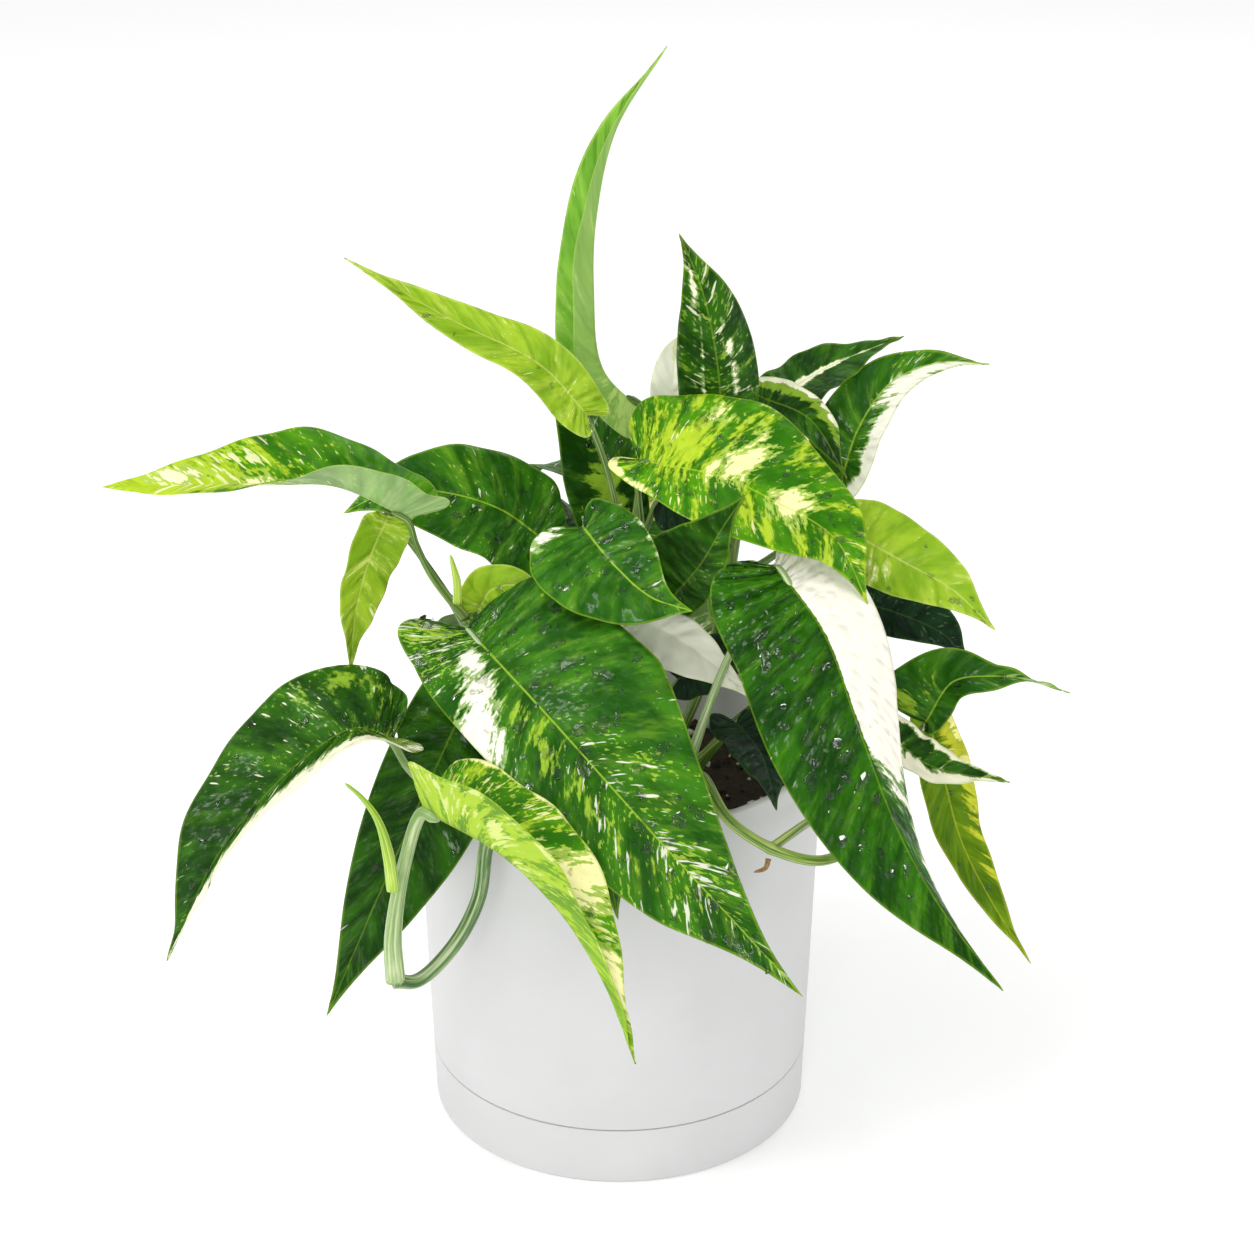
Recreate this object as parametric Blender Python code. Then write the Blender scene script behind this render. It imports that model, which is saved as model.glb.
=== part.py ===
"""A potted pothos: a variegated climber in a white six inch pot with a matching saucer.

Every leaf is one blade of the same heart-shaped outline, carried by its own rib curve, the way it faces,
its half widths, its fold along the rib and the curl of its two sides.  The stalks of a vine are united
with the vine, so a vine is one body.  Plant coordinates are in centimetres, the pot's in metres; the
origin is the centre of the saucer's underside, with +Z up and the front of the plant towards -Y.
"""
import bpy
import numpy as np

CM = 0.01
GAP = 0.0003

# ---- pot, saucer and soil, in metres ------------------------------------------------------------------
POT_HEIGHT = 0.150
POT_TOP_RADIUS = 0.0750
POT_FOOT_RADIUS = 0.0703
POT_WALL = 0.0028
SEAM_HEIGHT = 0.023
SAUCER_WALL = 0.0024
SAUCER_FLOOR = 0.0030
POT_FLOOR = 0.0035
RIM_ROUND = 0.0008
SAUCER_EDGE = 0.0010
FOOT_CLEARANCE = GAP
STEP_BELOW = 0.004
STEP_ABOVE = 0.006
DRAIN_RADIUS = 0.0040
DRAIN_RING_RADIUS = 0.036
DRAIN_COUNT = 6
DRAIN_TURN = 0.17
DRAIN_CUTTER_LENGTH = 0.014
DRAIN_SIDES = 12
SOIL_TOP = 0.120
SOIL_CROWN = 0.005
SOIL_RINGS = (.75, .5, .25)
ROUND_STEPS = 56

# ---- leaf blade, shares of its length and half width ---------------------------------------------------
LEAF_THICKNESS = 0.0008
LEAF_ROWS = 11
LEAF_COLUMNS = 2
MARGIN_STATION = (0, .07, .15, .26, .40, .56, .72, .86, 1)
MARGIN_ALONG = (0, -.075, -.085, .02, .20, .42, .66, .86, 1)
MARGIN_ACROSS = (0, .30, .62, .90, 1, .90, .57, .18, 0)
VEIN_START = (0, 0, .01, .05, .14, .30, .54, .80, 1)
VEIN_BOW = 1.15
FLAT_BEND = 1e-6
CURVE_STEPS = 120

# ---- stems ---------------------------------------------------------------------------------------------
STALK_RADIUS = 0.15
STALK_TIP_RADIUS = 0.11
STALK_SIDES = 6
VINE_SIDES = 8
TUBE_STEPS_PER_POINT = 3
BLADE_CLEARANCE = 0.20
UPRIGHT_START = 0.5
VINE_TIP_SHARE = 0.8

# ---- looks ---------------------------------------------------------------------------------------------
LOOKS = {
    "white_plastic": dict(color=(0.86, 0.86, 0.86), roughness=0.55),
    "soil": dict(color=(0.030, 0.019, 0.012), roughness=0.95),
    "leaf_dark": dict(color=(0.020, 0.095, 0.018), roughness=0.32),
    "leaf_marbled": dict(color=(0.085, 0.260, 0.020), roughness=0.32),
    "leaf_lime": dict(color=(0.300, 0.480, 0.030), roughness=0.34),
    "leaf_cream": dict(color=(0.800, 0.760, 0.520), roughness=0.40),
    "stem_green": dict(color=(0.170, 0.260, 0.060), roughness=0.45),
    "root_brown": dict(color=(0.230, 0.140, 0.060), roughness=0.80),
}

# Pairs are (left, right), seen from the base of the leaf with the upper face up.  A longer tuple holds
# values from the base of the leaf to its tip.  fold and curl are degrees, positive towards the upper face.
LEAVES = {
    "leaf_front_large": dict(
        look="leaf_marbled",
        rib=((-5.2, -5, 21.4), (-2, -9, 19.6), (1.2, -11, 16.6), (4, -11.8, 13.6), (6.2, -12, 11)),
        face=((.1, -.75, .65),),
        half=((2.1, 3.5, 4.2, 3, 1), (3.8, 2.6, 2.6, 3.8, 3.5)), fold=(12, 8), curl=(-14, -14),
        lobe=(.1, .85)),
    "leaf_front_folded": dict(
        look="leaf_lime",
        rib=((-6.4, -10.8, 17.5), (-3.6, -13.4, 17.1), (-1.8, -14.4, 15.6), (-.4, -15, 13.3),
             (.6, -15.5, 10.6)),
        face=((.2, .1, 1), (.76, 0, .65), (.8, -.2, .4)),
        half=((2.4, 2.4, 2.5, 2.2, 1.4), (3.2, 2.7, 1.9, 1.3, .9)), fold=(50, 55), curl=(0, 0),
        lobe=(.2, 0)),
    "leaf_left_low": dict(
        look="leaf_marbled",
        rib=((-7.6, -8, 18.7), (-8.8, -8.5, 19.3), (-10.4, -9, 18.5), (-13.2, -9.5, 15.5),
             (-15.5, -9.5, 10.9)),
        face=((-.1, -.45, .9),), half=(2.6, (2.4, 2.6, 2.8, 2.6)), fold=(40, 20), curl=(0, -20),
        lobe=.4, heel=40),
    "leaf_left_dark": dict(
        look="leaf_dark", rib=((-5, -5.6, 19.4), (-6.8, -6.5, 15.6), (-8.1, -7, 12.7), (-10.4, -7, 7.1)),
        face=((.1, -.9, .4),), half=(2.3, 1.8), fold=(12, 12), curl=(-10, -10)),
    "leaf_left_long": dict(
        look="leaf_marbled", rib=((-7.1, -4, 25.1), (-9.5, -4.6, 26.5), (-11.7, -5, 26.7), (-17.1, -6, 27)),
        face=((0, .2, 1), (0, -.2, 1), (0, -.7, .7)),
        half=((1.6, 1.7, 1.8, 2.4), 2.3), fold=((50, 35, 10), (46, 34, 14)), curl=(0, -16)),
    "leaf_left_hanging": dict(
        look="leaf_lime",
        rib=((-7.9, -3.3, 24.8), (-8.5, -3.5, 23.5), (-9.1, -3.5, 21.4), (-9.4, -3.5, 18.9)),
        face=((.5, -.8, .3),), half=(1, 1), fold=(15, 15), curl=(0, 0), lobe=.3),
    "leaf_left_middle": dict(
        look="leaf_dark",
        rib=((-2.6, -.2, 22.6), (-4.2, -.6, 24), (-6.2, -1, 24.8), (-8, -1, 24.8), (-9.7, -.5, 23.8)),
        face=((.1, -.6, .75),),
        half=((2, 2.2, 2.5, 2.5), (1.2, 2.1, 2.3, 2.3)), fold=(10, 10), curl=(-10, -10), lobe=.6),
    "leaf_centre_heart": dict(
        look="leaf_dark", rib=((-1.2, -3.5, 24.5), (-.1, -5, 23.7), (1.1, -6, 23), (2.5, -6.5, 22.7)),
        face=((.1, -.85, .5),), half=((1.5, 1.7, 1.9), 2.5), fold=(10, 10), curl=(-10, -10), lobe=1.2),
    "leaf_left_small": dict(
        look="leaf_lime", rib=((-4.9, -2.7, 21), (-4.4, -2.9, 21.9), (-3.5, -3, 22.1), (-2.5, -3, 21.3)),
        face=((0, -.8, .6),), half=(.9, .9), fold=(15, 15), curl=(0, 0)),
    "leaf_top_upright": dict(
        look="leaf_lime",
        rib=((.8, 1.5, 26.8), (-.6, 1, 28.6), (-.9, .5, 31.7), (-.8, .5, 34.2), (-.1, .3, 37.4),
             (1.6, 0, 40.3)),
        face=((-.9, -.3, 0),),
        half=((.9, 1.5, 1.5, 1.5, 1.2), (.9, 1.5, 1.5, 1.5, 1.2)), fold=(45, 45), curl=(0, 0), lobe=.2),
    "leaf_upper_left": dict(
        look="leaf_lime", rib=((-1.1, -1, 27.7), (-2.7, -1.5, 29.7), (-5.7, -2, 31.5), (-9.1, -2.5, 33.8)),
        face=((-.1, -.75, .65),), half=(1.1, 1), fold=(25, 25), curl=(0, 0), lobe=.5),
    "leaf_upper_cone": dict(
        look="leaf_marbled", rib=((3.7, 1.5, 26.6), (3.4, 1.5, 29.2), (2.9, 1.5, 31.4), (2.1, 1.2, 33.5)),
        face=((.1, -1, .1),),
        half=((1.8, 1.7, 1.5, 1.1), (1.8, 1.8, 1.7, 1.4)), fold=(-5, -5), curl=(-50, -50), lobe=.5),
    "leaf_upper_cream": dict(
        look="leaf_cream", rib=((3, 3.5, 25), (2, 3.5, 27), (2.2, 4, 28.3), (3.5, 4.3, 29)),
        face=((0, -1, .2),), half=(1, 1), fold=(10, 10), curl=(0, 0), lobe=.5),
    "leaf_right_marbled": dict(
        look="leaf_marbled",
        rib=((.7, -2, 26.4), (3.7, -3.5, 26.3), (5.2, -4.2, 25.8), (7.3, -4.9, 24.7), (8.5, -5.2, 22.4)),
        face=((0, -.55, .83), (0, -.55, .83), (.5, -.7, .4)),
        half=(3.4, (.8, 1.2, 2.2, 2.8, 2.8)), fold=(5, 5), curl=(-10, -10)),
    "leaf_back_right_dark": dict(
        look="leaf_dark", rib=((5.6, 5.2, 25.9), (7.8, 6.2, 26.9), (10.5, 6.7, 27.9)),
        face=((-.2, -.3, .9),), half=(1.3, 1.7), fold=(10, 10), curl=(0, 0)),
    "leaf_back_right_edged": dict(
        look="leaf_marbled",
        rib=((8.2, 4, 23.4), (8.8, 4.6, 25.1), (10, 5.3, 26.6), (11.8, 6, 27.1), (13.8, 7, 26.7)),
        face=((-.1, -.75, .6),), half=((1.2, 1.6, 1.2, .5), (1, 1, .9, .5)), fold=(10, 10), curl=(0, 0)),
    "leaf_back_right_banded": dict(
        look="leaf_dark", rib=((5.1, 3.5, 26.7), (6.9, 3.3, 25.9), (8.3, 3, 23.7)),
        face=((.2, -.8, .5),), half=(.9, .8), fold=(10, 10), curl=(0, 0)),
    "leaf_right_lime": dict(
        look="leaf_lime", rib=((8.2, 0, 22.9), (10, -.5, 22), (11.8, -1, 21.1), (13.4, -1.5, 19.7)),
        face=((.1, -.85, .5),), half=(1.5, 1.4), fold=(10, 10), curl=(-10, -10)),
    "leaf_right_shaded": dict(
        look="leaf_dark", rib=((8.7, 2, 19.3), (10.5, 2, 18.7), (12, 2, 17.9), (12.9, 2, 16.8)),
        face=((.1, -.8, .5),), half=(1.6, 1), fold=(10, 10), curl=(0, 0)),
    "leaf_right_folded": dict(
        look="leaf_marbled",
        rib=((11.1, -1, 15.8), (12, -1.5, 17.7), (13.1, -1.7, 18), (14.6, -2, 18), (16.1, -2, 17.5)),
        face=((-.3, -.8, .5), (0, -.75, .65), (0, .7, .7)),
        half=((2.4, 2.2, .6, .3), (.5, .7, .8, .7)), fold=(10, 10), curl=(0, 0), lobe=.4),
    "leaf_right_small": dict(
        look="leaf_cream", rib=((9.5, -3.5, 16.6), (11, -4, 15.6), (13.8, -4.5, 15.2)),
        face=((0, -.5, .85),), half=(.9, .9), fold=(20, 20), curl=(0, 0)),
    "leaf_right_hanging": dict(
        look="leaf_marbled",
        rib=((11.4, .5, 15.1), (12, 0, 13), (12.7, -.3, 10.6), (13.9, -.6, 8.2), (15.5, -1, 5.7)),
        face=((.4, -.8, .3),), half=(1.1, 1.1), fold=(10, 10), curl=(0, 0)),
    "leaf_right_large": dict(
        look="leaf_dark",
        rib=((5.3, -5.2, 23.8), (6.9, -7, 22.1), (8.1, -8.3, 19.1), (9.5, -9, 15.6), (10.9, -9.5, 13.1),
             (13.2, -10, 10)),
        face=((0, -.85, .5),),
        half=((2.6, 2.9, 2.6, 1.6), (2.8, 3.3, 3.7)), fold=((-25, -35, -60, -75), 5),
        curl=(-20, -10), lobe=.6),
    "leaf_centre_cream": dict(
        look="leaf_cream", rib=((.6, -3.6, 21.2), (2.6, -4.2, 20.2), (4.7, -5, 18.7)),
        face=((.1, -.75, .65),), half=(.9, 1.3), fold=(10, 10), curl=(0, 0)),
    "leaf_centre_raised": dict(
        look="leaf_dark", rib=((1.9, -2.8, 21.6), (2.8, -4.4, 23.5), (3.5, -6.1, 25.6), (4.2, -6.9, 27.1)),
        face=((-.1, -.9, .4),), half=(1.9, 1), fold=(10, 10), curl=(0, 0)),
    "leaf_centre_shaded": dict(
        look="leaf_dark", rib=((1.5, 1.2, 23.6), (2.9, 1.6, 23.1), (4.1, 1.6, 21.6)),
        face=((.1, -.75, .65),), half=(1.2, 1.4), fold=(10, 10), curl=(0, 0)),
    "leaf_centre_tall": dict(
        look="leaf_dark", rib=((-.1, 1.4, 22.2), (-.7, 2, 25.1), (-1.7, 2.6, 27.2), (-2.7, 3.2, 28.6)),
        face=((.1, -.95, .3),), half=((1.1, 1.6, 1.9), 1.4), fold=(10, 10), curl=(0, 0)),
    "leaf_inner_rim": dict(
        look="leaf_dark", rib=((4.2, -2.6, 16.6), (5, -5, 16.5), (5.4, -7.9, 15.9)),
        face=((0, -.2, 1),), half=(1.2, 1.2), fold=(10, 10), curl=(0, 0)),
    "leaf_inner_front": dict(
        look="leaf_dark", rib=((-2, -6, 16.8), (-.6, -8.3, 15), (0, -8.8, 12.1)),
        face=((0, -.8, .6),), half=(1.3, 1.3), fold=(10, 10), curl=(0, 0)),
    "leaf_inner_grey": dict(
        look="leaf_dark", rib=((2.2, .6, 16.8), (4, .6, 17.6), (5.8, .4, 17.4)),
        face=((0, -.5, .9),), half=(1.3, 1.3), fold=(10, 10), curl=(0, 0)),
    "leaf_inner_left": dict(
        look="leaf_dark", rib=((-2.5, 2.4, 17), (-4.4, 2.8, 18), (-6.8, 2.6, 16.8)),
        face=((-.1, -.2, 1),), half=(1.6, 1.6), fold=(10, 10), curl=(-10, -10)),
    "leaf_behind_upper": dict(
        look="leaf_marbled", rib=((1, 4.2, 21), (1.2, 6, 22), (1.5, 8.2, 21), (1.6, 9.6, 18.6)),
        face=((0, .5, .9),), half=(1.9, 1.9), fold=(10, 10), curl=(-10, -10)),
    "leaf_behind_high_left": dict(
        look="leaf_dark", rib=((-1, 3.8, 22), (-2, 5, 23.2), (-3.2, 6.4, 22.8), (-4, 7.5, 21.2)),
        face=((-.3, .6, .75),), half=(1.5, 1.5), fold=(10, 10), curl=(-10, -10)),
    "leaf_behind_high_right": dict(
        look="leaf_marbled", rib=((3.4, 5, 23.2), (4.7, 6.2, 24.1), (6.1, 7.2, 23.3), (7, 7.8, 21.6)),
        face=((.3, .6, .75),), half=(1.4, 1.4), fold=(10, 10), curl=(-10, -10)),
    "leaf_behind_low": dict(
        look="leaf_lime", rib=((-2.2, 3.5, 15.2), (-3.6, 4.3, 16.1), (-4.8, 5.1, 16.1), (-5.5, 5.7, 15.5)),
        face=((-.2, .2, .9),), half=(1.2, 1.2), fold=(10, 10), curl=(-10, -10)),
    "leaf_behind_near_left": dict(
        look="leaf_dark", rib=((-1.2, 4.8, 20.2), (-2.8, 6, 21.4), (-4.6, 7, 20.8), (-5.6, 7.6, 19.4)),
        face=((-.3, .4, .9),), half=(1.5, 1.5), fold=(10, 10), curl=(-10, -10)),
    "leaf_behind_near_right": dict(
        look="leaf_dark", rib=((3.4, 5.2, 20.3), (5, 6.6, 20.9), (6.4, 7.4, 20), (7.1, 7.8, 18.3)),
        face=((.3, .4, .9),), half=(1.6, 1.6), fold=(10, 10), curl=(-10, -10)),
    "leaf_behind_left": dict(
        look="leaf_dark", rib=((-3.1, 5.3, 17.5), (-5.1, 7.1, 16.6), (-6.6, 8.2, 13), (-7.4, 8.4, 8.2)),
        face=((-.6, .6, .5),), half=(2.2, 2.2), fold=(10, 10), curl=(-10, -10), lobe=.6),
    "leaf_behind_centre": dict(
        look="leaf_marbled", rib=((-1, 6, 19), (-1.8, 8.5, 18.5), (-2.2, 10.5, 14.5), (-2.5, 11, 9)),
        face=((-.1, .8, .55),), half=(3, 3), fold=(10, 10), curl=(-10, -10)),
    "leaf_behind_right": dict(
        look="leaf_marbled", rib=((2.5, 6, 18), (3.3, 8.6, 17), (3.8, 10.2, 13), (4.2, 10.3, 7.5)),
        face=((.2, .8, .5),), half=(2.8, 2.8), fold=(10, 10), curl=(-10, -10)),
    "leaf_behind_side": dict(
        look="leaf_lime", rib=((5.5, 5, 18.5), (7.3, 6.8, 17.8), (8.6, 7.8, 14.5), (9.2, 8, 9.5)),
        face=((.6, .6, .5),), half=(2.2, 2.2), fold=(10, 10), curl=(-10, -10)),
}

# A vine's path runs from the soil to its growing end.  Each stalk starts on that path, passes its own
# points and ends under the base of its leaf.
VINES = {
    "vine_front_left": dict(
        radius=.27,
        path=((-1.5, -2), (-1.6, -2.4, 13.4), (-2.6, -4.6, 15), (-3.5, -6.8, 16.2),
              (-4.4, -8.5, 15.2), (-4.8, -9, 13), (-5.7, -9.5, 11.4), (-6.9, -10, 10.4),
              (-7.6, -10.3, 10.6)),
        stalks={"leaf_front_large": ((-2.6, -4.6, 15), (-3.8, -4.2, 18)),
                "leaf_left_dark": ((-2.6, -4.6, 15), (-4.3, -4.8, 17)),
                "leaf_left_low": ((-4.4, -8.5, 15.2), (-5.6, -9, 16.6), (-7.0, -8.8, 17.9)),
                "leaf_front_folded": ((-7.6, -10.3, 10.6), (-7.6, -10.5, 12.5), (-7.1, -10.6, 15.4)),
                "leaf_inner_front": ((-2.6, -4.6, 15), (-2.3, -5.2, 16))}),
    "vine_front_right": dict(
        radius=.2,
        path=((1.5, -2), (1.6, -2.4, 13.4), (2.3, -4.6, 15.2), (2.9, -6.4, 16.4), (3.8, -8.3, 15.7),
              (5.2, -8.6, 14.8), (6.8, -8.4, 14.2), (8.2, -7.4, 14.1)),
        stalks={"leaf_right_hanging": ((5.2, -8.6, 14.8), (6.2, -7.4, 14.9), (8.4, -3.2, 14.2),
                                      (10.2, .6, 14.3)),
                "leaf_right_large": ((2.3, -4.6, 15.2), (2.7, -5, 17), (3.5, -5.5, 19.8), (4.3, -5.2, 21.6)),
                "leaf_inner_rim": ((1.6, -2.4, 13.4), (2.8, -2.4, 15))}),
    "vine_left": dict(
        radius=.22, path=((-2.5, -.5), (-3.8, -1.6, 15.5), (-4.6, -2.9, 19), (-5.3, -3.3, 21)),
        stalks={"leaf_left_long": ((-5.3, -3.3, 21), (-6.4, -3.8, 22.8), (-6.9, -3.9, 24)),
                "leaf_left_small": ((-3.8, -1.6, 15.5), (-4.2, -1.7, 18.5)),
                "leaf_left_hanging": ((-4.6, -2.9, 19), (-6, -2.6, 21.6), (-7.4, -2.9, 24)),
                "leaf_left_middle": ((-3.8, -1.6, 15.5), (-3, -.2, 19))}),
    "vine_centre": dict(
        radius=.22, path=((-.2, -1), (-.2, -1, 15), (0, -.9, 17.5), (.1, -.7, 19.5)),
        stalks={"leaf_upper_left": ((.1, -.7, 19.5), (0, -1.5, 23.8), (-.5, -1.1, 26)),
                "leaf_right_marbled": ((0, -.9, 17.5), (.8, -2, 21.1), (.8, -2, 23.8)),
                "leaf_top_upright": ((.1, -.7, 19.5), (.4, -.2, 22), (.8, .8, 25)),
                "leaf_centre_tall": ((0, -.9, 17.5), (-.2, .2, 20)),
                "leaf_centre_heart": ((-.2, -1, 15), (-1, -2, 20)),
                "leaf_centre_raised": ((0, -.9, 17.5), (1.3, -2, 19.5)),
                "leaf_centre_cream": ((-.2, -1, 15), (.4, -2.2, 18.5)),
                "leaf_inner_grey": ((-.2, -1, 15), (1, -.4, 15.8)),
                "leaf_centre_shaded": ((.1, -.7, 19.5), (.8, .6, 22))}),
    "vine_right": dict(
        radius=.22, path=((2.5, -.5), (4, -.6, 15.3), (5.5, -.8, 16.6), (7.5, -1, 16.8), (9.3, -1.2, 15.8)),
        stalks={"leaf_right_folded": ((9.3, -1.2, 15.8), (10.3, -1, 15)),
                "leaf_right_lime": ((5.5, -.8, 16.6), (7, -.2, 20)),
                "leaf_right_shaded": ((5.5, -.8, 16.6), (7.4, 1, 17.8)),
                "leaf_right_small": ((7.5, -1, 16.8), (8.5, -2.2, 16.4))}),
    "vine_back_right": dict(
        radius=.22, path=((2, 2), (3.2, 2.6, 16), (4, 2.9, 19.5), (4.4, 3, 22.5)),
        stalks={"leaf_upper_cone": ((4.4, 3, 22.5), (4, 2.6, 24.5)),
                "leaf_upper_cream": ((4, 2.9, 19.5), (3.2, 3.6, 23)),
                "leaf_back_right_dark": ((4.4, 3, 22.5), (5, 3.8, 24.5)),
                "leaf_back_right_edged": ((4, 2.9, 19.5), (6.6, 4, 21)),
                "leaf_back_right_banded": ((4.4, 3, 22.5), (4.7, 3.2, 24.8)),
                "leaf_behind_high_right": ((4, 2.9, 19.5), (4.2, 4.2, 21.6))}),
    "vine_back": dict(
        radius=.22, path=((0, 2.8), (0, 3.6, 15), (.3, 4.1, 17.5), (.5, 4.1, 19.2)),
        stalks={"leaf_behind_left": ((0, 3.6, 15), (-1.6, 4.6, 17)),
                "leaf_behind_centre": ((.3, 4.1, 17.5), (-.4, 5, 18.2)),
                "leaf_behind_upper": ((.5, 4.1, 19.2), (.8, 4, 20.2)),
                "leaf_behind_high_left": ((.5, 4.1, 19.2), (-.2, 3.7, 20.8)),
                "leaf_behind_low": ((0, 3.6, 15), (-1, 3.2, 14.9)),
                "leaf_behind_near_left": ((.3, 4.1, 17.5), (-.4, 4.4, 18.8)),
                "leaf_behind_near_right": ((.3, 4.1, 17.5), (1.8, 4.6, 18.9)),
                "leaf_inner_left": ((0, 3.6, 15), (-1.4, 3, 16.4)),
                "leaf_behind_right": ((0, 3.6, 15), (1.6, 4.8, 16.8)),
                "leaf_behind_side": ((0, 3.6, 15), (3.4, 3.8, 17.4))}),
}

# A new leaf still rolled up, a growing point and an air root: plain tapering tubes.
SPROUTS = {
    "shoot_left": dict(
        look="leaf_lime", radii=(.22, .2, .12, .05),
        path=((-7.5, -11.1, 14.6), (-7.6, -11.4, 16.2), (-7.9, -11.5, 17.5), (-8.4, -11.5, 18.3),
              (-8.9, -11.5, 18.8))),
    "shoot_small": dict(
        look="leaf_lime", radii=(.16, .14, .05),
        path=((-5.5, -4.7, 22.2), (-5.5, -4.7, 23), (-5.7, -4.7, 24))),
    "air_root": dict(
        look="root_brown", radii=(.1, .08, .04),
        path=((5.1, -9, 14.6), (5, -9.1, 14.3), (4.6, -9.2, 14.2))),
}


# ---- curves --------------------------------------------------------------------------------------------
def smooth(knots, values, at):
    """Read a smooth curve through the values at the knots."""
    knots = np.asarray(knots, float)
    values = np.asarray(values, float)
    slopes = np.gradient(values, knots, axis=0)
    span = np.clip(np.searchsorted(knots, at, side="right") - 1, 0, len(knots) - 2)
    width = knots[span + 1] - knots[span]
    t = (at - knots[span]) / width
    if values.ndim > 1:
        t = t[:, None]
        width = width[:, None]
    start = (2 * t**3 - 3 * t**2 + 1) * values[span] + (t**3 - 2 * t**2 + t) * width * slopes[span]
    end = (3 * t**2 - 2 * t**3) * values[span + 1] + (t**3 - t**2) * width * slopes[span + 1]
    return start + end


def unit(vectors):
    return vectors / np.linalg.norm(vectors, axis=-1, keepdims=True)


def dense_curve(points, count=CURVE_STEPS):
    """Smooth curve through the points: positions, their share of the length, and the length."""
    points = np.asarray(points, float)
    chords = np.linalg.norm(np.diff(points, axis=0), axis=1)
    knots = np.append(0, np.cumsum(np.sqrt(chords)))
    line = smooth(knots, points, np.linspace(0, knots[-1], count))
    travelled = np.append(0, np.cumsum(np.linalg.norm(np.diff(line, axis=0), axis=1)))
    return line, travelled / travelled[-1], travelled[-1]


def spread(value, share):
    """Value at each share of the leaf's length, from one number or a row of numbers."""
    row = np.atleast_1d(np.asarray(value, float))
    return np.interp(share, np.linspace(0, 1, len(row)), row)


def rib_frame(rib, face, share):
    """Point, forward, upward and rightward directions at each share of the rib."""
    line, travelled, length = dense_curve(rib)
    tangents = unit(np.gradient(line, travelled, axis=0))
    faces = np.asarray(face, float)
    if len(faces) == 1:
        faces = np.repeat(faces, 2, axis=0)
    stations = np.linspace(0, 1, len(faces))
    point = np.stack([np.interp(share, travelled, line[:, k]) for k in range(3)], -1)
    along = unit(np.stack([np.interp(share, travelled, tangents[:, k]) for k in range(3)], -1))
    up = np.stack([np.interp(share, stations, faces[:, k]) for k in range(3)], -1)
    up = unit(up - (up * along).sum(-1, keepdims=True) * along)
    return point, along, up, np.cross(along, up), length


def leaf_surface(rib, face, half, fold=(10, 10), curl=(0, 0), lobe=1.0, heel=15,
                 rows=LEAF_ROWS, columns=LEAF_COLUMNS):
    """Grid of points on a blade: rows from base to tip, columns from the left margin to the right."""
    station = np.linspace(0, 1, rows)
    margin_across = np.maximum(smooth(MARGIN_STATION, MARGIN_ACROSS, station), 0)
    vein_start = smooth(MARGIN_STATION, VEIN_START, station)
    grid = np.zeros((rows, 2 * columns + 1, 3))
    for column in range(-columns, columns + 1):
        side = 1 if column > 0 else 0
        sign = 1 if column > 0 else -1
        out = abs(column) / columns
        lobed = [a * np.broadcast_to(lobe, 2)[side] if a < 0 else a for a in MARGIN_ALONG]
        margin_along = smooth(MARGIN_STATION, lobed, station)
        share = vein_start + (margin_along - vein_start) * out**VEIN_BOW
        inside = np.clip(share, 0, 1)
        point, along, up, right, length = rib_frame(rib, face, inside)
        behind = np.minimum(share, 0)[:, None] * length
        drop = np.radians(heel)
        point = point + behind * (along * np.cos(drop) - up * np.sin(drop))
        width = spread(half[side], station)
        reach = margin_across * out * width
        start = np.radians(spread(fold[side], inside))
        bend = np.radians(spread(curl[side], inside)) / width
        bend = np.where(np.abs(bend) < FLAT_BEND, FLAT_BEND, bend)
        outward = (np.sin(start + bend * reach) - np.sin(start)) / bend
        lift = -(np.cos(start + bend * reach) - np.cos(start)) / bend
        grid[:, column + columns] = point + right * (sign * outward)[:, None] + up * lift[:, None]
    return grid


# ---- stems: paths and tubes ----------------------------------------------------------------------------
def stalk_points(leaf, waypoints):
    """A stalk's points, ending just under the base of its leaf."""
    spec = LEAVES[leaf]
    point, along, up, right, length = rib_frame(spec["rib"], spec["face"], np.zeros(1))
    return (*waypoints, tuple(point[0] - up[0] * BLADE_CLEARANCE))


def vine_points(path):
    """A vine's points: it leaves the soil upright, just clear of the surface."""
    x, y = path[0]
    surface = soil_height(np.hypot(x, y) * CM) / CM + GAP / CM
    return ((x, y, surface), (x, y, surface + UPRIGHT_START), *path[1:])


def tube(points, radii, sides):
    """Vertices and faces of a closed tube along a smooth curve through the points."""
    line, travelled, length = dense_curve(points)
    count = TUBE_STEPS_PER_POINT * (len(points) - 1) + 1
    share = np.linspace(0, 1, count)
    centres = np.stack([np.interp(share, travelled, line[:, k]) for k in range(3)], -1)
    tangents = unit(np.gradient(centres, axis=0))
    tangents[0] = unit(centres[1] - centres[0])
    side = unit(np.cross(tangents[0], (0.0, 1.0, 0.2)))
    vertices = []
    for centre, tangent, radius in zip(centres, tangents, spread(radii, share)):
        side = unit(side - tangent * side.dot(tangent))
        other = np.cross(tangent, side)
        for step in range(sides):
            angle = 2 * np.pi * step / sides
            vertices.append(centre + radius * (side * np.cos(angle) + other * np.sin(angle)))
    faces = [tuple(range(sides))[::-1]]
    for ring in range(count - 1):
        for step in range(sides):
            after = (step + 1) % sides
            low = ring * sides
            faces.append((low + step, low + after, low + sides + after, low + sides + step))
    faces.append(tuple(range((count - 1) * sides, count * sides)))
    return np.array(vertices) * CM, faces


# ---- pot, saucer and soil: radii at a height -----------------------------------------------------------
def pot_outside(z):
    return POT_FOOT_RADIUS + (POT_TOP_RADIUS - POT_FOOT_RADIUS) * z / POT_HEIGHT


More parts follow.
